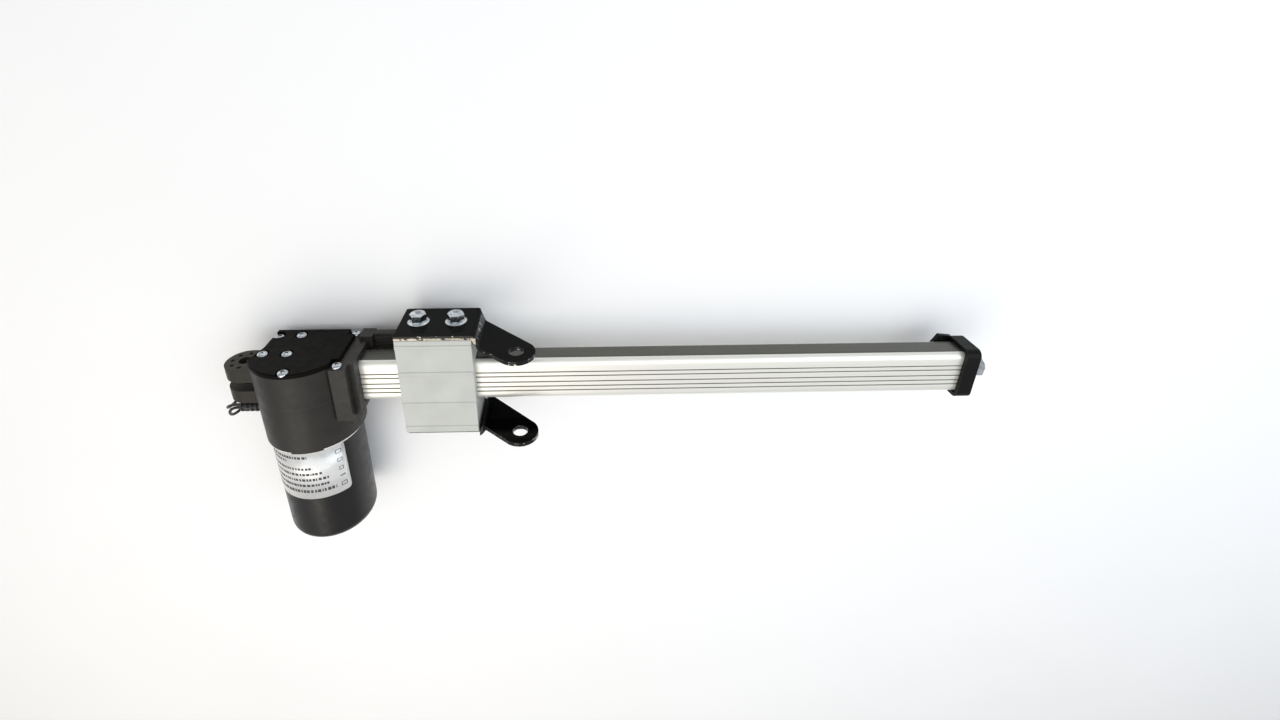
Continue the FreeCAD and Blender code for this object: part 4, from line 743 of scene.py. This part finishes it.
def make_can():
    """The drawn can with its rolled bottom edge, bearing cup and two rivet heads."""
    centre, radius, _, top = motor_axis()
    bottom = -123.0
    bend = 8.0
    profile = [(0, bottom), (8.5, bottom), (9.2, bottom + 0.5), (10.5, bottom + 0.6), (11.2, bottom)]
    for step in range(13):
        turn = math.pi / 2 * step / 12
        profile.append((radius - bend + bend * math.sin(turn), bottom + bend - bend * math.cos(turn)))
    profile += [(radius, top - 0.3), (radius - 0.3, top), (radius - CAN_WALL, top)]
    for step in range(9):
        turn = math.pi / 2 * (1 - step / 8)
        inner = bend - CAN_WALL
        profile.append((radius - bend + inner * math.sin(turn), bottom + bend - inner * math.cos(turn)))
    profile += [(6.6, bottom + CAN_WALL), (6.6, bottom + 1.0), (0, bottom + 1.0)]
    can = lathe("motor_can_drawn", "y", profile, centre, 128)
    rivets = [lathe("motor_can_rivet", "y", [(0, bottom - 1.9), (1.8, bottom - 1.8), (2.5, bottom - 1.0),
                                             (2.6, bottom + 1.2), (0, bottom + 1.2)],
                    centre + Vector((0, side * 20)), 32) for side in (1, -1)]
    combine(can, rivets, "UNION")
    show(soften(can, 0.15, 2, 40), "motor_can")


LIP_PROUD = 1.0
PLATE_FLANGE = 2.1


def make_front_plate():
    """The zinc-plated end plate, whose rim shows as a bright ring, and the lid's tab across it."""
    centre, _, _, top = motor_axis()
    low, high = span("motor_front_plate")
    rim = (high.z - low.z) / 2
    seat = top + PLATE_FLANGE
    plate = lathe("motor_front_plate_turned", "y", [
        (4.2, top), (rim - 0.3, top), (rim, top + 0.3), (rim, seat - 0.3), (rim - 0.3, seat), (10, seat),
        (10, high.y), (4.2, high.y)], centre, 128)
    lip = wrap("motor_front_plate_lip", centre, -35, 215, rim - 0.3, rim + LIP_PROUD,
               lambda turn: (top - 1.7, seat - 0.6), 160)
    show(merge("motor_front_plate_whole", [plate, lip]), "motor_front_plate", BRIGHT_ZINC)
    tab = wrap("gearbox_tab", centre, 62, 99, rim + 0.2, rim + LIP_PROUD + 0.6,
               lambda turn: (top - 0.9, seat + 0.2))
    show(soften(tab, 0.2), (), FINISHES["housing_black"], "frame")


def wrap(name, centre, first, last, inner, outer, levels, steps=48):
    """A thin curved sheet about the motor's axis; levels gives its two heights at an angle in degrees."""
    mesh = bmesh.new()
    rows = []
    for step in range(steps + 1):
        turn = math.radians(first + (last - first) * step / steps)
        low, high = levels(math.degrees(turn))
        across = Vector((math.cos(turn), math.sin(turn)))
        row = [mesh.verts.new(Vector(PUT["y"](*(centre + across * reach), level)) * MM)
               for reach, level in ((inner, low), (outer, low), (outer, high), (inner, high))]
        rows.append(row)
    for before, after in zip(rows, rows[1:]):
        for number in range(4):
            following = (number + 1) % 4
            mesh.faces.new([before[number], before[following], after[following], after[number]])
    mesh.faces.new(rows[0])
    mesh.faces.new(rows[-1])
    return to_object(name, mesh)


LABEL_FIRST = 37.0
LABEL_TURN = 165.0
LABEL_CORNER = 2.5
LABEL_MARGIN = 5.0
BOX_COLUMN = 9.0
# rows of dashes: share of the label's height, the angle where the row ends, and the dashes' height
LABEL_LINES = ((0.10, 84, 2.0), (0.19, 112, 1.8), (0.34, 80, 1.9), (0.46, 70, 1.9), (0.58, 62, 2.0),
               (0.70, 64, 1.9), (0.83, 56, 2.4))
# outlined boxes: share of the label's height, width in degrees, and height
LABEL_BOXES = ((0.14, 7.0, 3.2), (0.32, 6.0, 2.6), (0.50, 5.0, 2.8), (0.66, 6.0, 1.2), (0.84, 7.0, 3.0))


def make_label():
    """A blank rating plate: silver film with rounded corners, ruled with plain bars and generic shapes."""
    centre, radius, _, _ = motor_axis()
    low, high = span("motor_label")
    last = LABEL_FIRST + LABEL_TURN
    per_degree = math.radians(1) * radius

    def levels(turn):
        near = min(turn - LABEL_FIRST, last - turn) * per_degree
        inset = 0.0
        if near < LABEL_CORNER:
            inset = LABEL_CORNER - math.sqrt(max(0.0, LABEL_CORNER ** 2 - (LABEL_CORNER - near) ** 2))
        return low.y + inset, high.y - inset

    film = wrap("motor_label_film", centre, LABEL_FIRST, last, radius, radius + 0.15, levels, 220)
    show(film, "motor_label")
    tall = high.y - low.y
    chance = random.Random(19)
    marks = []

    def mark(first, final, bottom, top):
        marks.append(wrap("label_mark", centre, first, final, radius + 0.1, radius + 0.19,
                          lambda turn: (bottom, top), 6))

    for share, end, bar in LABEL_LINES:
        turn = last - LABEL_MARGIN
        level = high.y - share * tall
        while turn > end:
            dash = chance.uniform(1.4, 4.2)
            mark(max(end, turn - dash), turn, level - bar / 2, level + bar / 2)
            turn -= dash + chance.uniform(0.8, 2.0)
    middle = LABEL_FIRST + BOX_COLUMN
    for share, wide, bar in LABEL_BOXES:
        level = high.y - share * tall
        mark(middle - wide / 2, middle + wide / 2, level + bar / 2 - 0.4, level + bar / 2)
        mark(middle - wide / 2, middle + wide / 2, level - bar / 2, level - bar / 2 + 0.4)
        for side in (-1, 1):
            edge = middle + side * wide / 2
            mark(edge - 0.4, edge + 0.4, level - bar / 2, level + bar / 2)
    show(merge("label_marks", marks), (), INK, "frame")


# ---- far end and small parts -------------------------------------------------------------------------

def make_end():
    """The cap with its back lip, and the stud that ends in a washer and nut."""
    show(moulded("end_cap", 0.6), "end_cap")
    low, high = span("end_stud")
    stud = threaded("end_stud_thread", 4.0, 3.45, 1.25, low.x, high.x - 0.6)
    show(soften(stud, 0.1, 1, 60), "end_stud")
    low, high = span("end_nut")
    nut = prism("end_nut_hex", "x", hexagon(7.5), low.x, high.x)
    turned = lathe("end_nut_turned", "x", [(0, low.x - 0.1), (6.9, low.x - 0.1), (7.7, low.x + 0.8),
                                           (7.7, high.x - 0.8), (6.9, high.x + 0.1), (0, high.x + 0.1)])
    combine(nut, [turned], "INTERSECT")
    combine(nut, [round_rod("end_nut_bore", "x", 4.02, low.x - 1, high.x + 1)])
    show(soften(nut, 0.15, 2, 28), "end_nut")
    show(moulded("end_washer", 0.2, 2), "end_washer")


def make_lead_screw():
    """The screw's six-millimetre thread, seen through the slot along the track's back."""
    low, high = span("lead_screw")
    thread_from, thread_to = 67.0, 455.5
    screw = threaded("lead_screw_thread", 5.0, 3.9, 6.0, thread_from, thread_to, 32, 12)
    ends = [lathe("lead_screw_end", "x", [(0, first), (4.0, first), (4.0, last), (0, last)], (0, 0), 32)
            for first, last in ((low.x, thread_from), (thread_to, high.x))]
    show(merge("lead_screw_whole", [screw] + ends), "lead_screw")


def make_relief():
    """The ribbed grommet, its ribs joined by short webs turned a quarter from groove to groove."""
    low, high = span("strain_relief")
    centre = Vector(((low.y + high.y) / 2, (low.z + high.z) / 2))
    rib, neck, pitch, groove = 3.7, 2.8, 3.4, 1.5
    start = low.x + 1.8
    profile = [(0, low.x), (rib - 0.9, low.x), (rib - 0.2, low.x + 0.5), (rib, low.x + 1.1)]
    for number in range(3):
        left = start + number * pitch
        profile += [(rib, left - 0.25), (rib - 0.2, left), (neck, left + 0.15), (neck, left + groove - 0.15),
                    (rib - 0.2, left + groove), (rib, left + groove + 0.25)]
    profile += [(rib, start + 3 * pitch - 0.2), (neck, start + 3 * pitch), (neck, high.x), (0, high.x)]
    relief = lathe("strain_relief_grommet", "x", profile, centre, 48)
    webs = []
    for number in range(3):
        left = start + number * pitch
        wide = (1.0, rib - 0.15) if number % 2 else (rib - 0.15, 1.0)
        webs.append(slab("relief_web", (left - 0.3, centre.x - wide[0], centre.y - wide[1]),
                         (left + groove + 0.3, centre.x + wide[0], centre.y + wide[1])))
    combine(relief, webs, "UNION")
    show(soften(relief, 0.15, 2, 40), "strain_relief")


def finish_frame_nodes():
    """Everything that keeps the frame's own form gets its slot's finish."""
    for node, piece in frame["nodes"].items():
        piece.data.materials.clear()
        piece.data.materials.append(FINISHES[SLOTS[node]])


make_track()
make_slider()
make_bracket("upper_bracket", 1)
make_bracket("lower_bracket", -1)
make_bolts()
make_gearbox()
make_screws()
make_can()
make_front_plate()
make_label()
make_end()
make_lead_screw()
make_relief()
finish_frame_nodes()


# ---- floor and light ---------------------------------------------------------------------------------

def make_floor():
    """A plain pale floor just under the lowest point of the frame."""
    level = cad_box[0][2] / MM - 0.05
    outline = [Vector((-2500, -2500)), Vector((3000, -2500)), Vector((3000, 2500)), Vector((-2500, 2500))]
    floor = prism("floor", "z", outline, level - 20, level)
    floor.data.materials.append(surface("floor_white", (0.97, 0.97, 0.97), 0.9, patch=0.01, patch_size=3.0,
                                        bump=0.02))


def area_light(name, place, aim, size, watts, colour):
    data = bpy.data.lights.new(name, "AREA")
    data.shape = "RECTANGLE"
    data.size, data.size_y = (length * MM for length in size)
    data.energy = watts
    data.color = colour
    light = bpy.data.objects.new(name, data)
    light.location = Vector(place) * MM
    light.rotation_euler = (Vector(place) - Vector(aim)).to_track_quat("Z", "Y").to_euler()
    bpy.context.scene.collection.objects.link(light)


def make_light():
    """Soft studio light: warm from the left, cool from the right and behind, pale all round."""
    middle = (230, 0, 0)
    area_light("warm_key", (-250, -450, 900), middle, (900, 700), 3.4, (1.0, 0.92, 0.79))
    area_light("cool_key", (1000, 250, 750), (400, 0, 0), (800, 700), 3.0, (0.76, 0.88, 1.0))
    area_light("overhead", (250, 100, 1300), middle, (1800, 1200), 6.0, (1.0, 1.0, 1.0))
    world = bpy.data.worlds.new("Studio")
    bpy.context.scene.world = world
    world.use_nodes = True
    world.node_tree.nodes["Background"].inputs["Color"].default_value = (0.97, 0.98, 1.0, 1)
    world.node_tree.nodes["Background"].inputs["Strength"].default_value = 0.55
    bpy.context.scene.view_settings.view_transform = "Standard"


make_floor()
make_light()
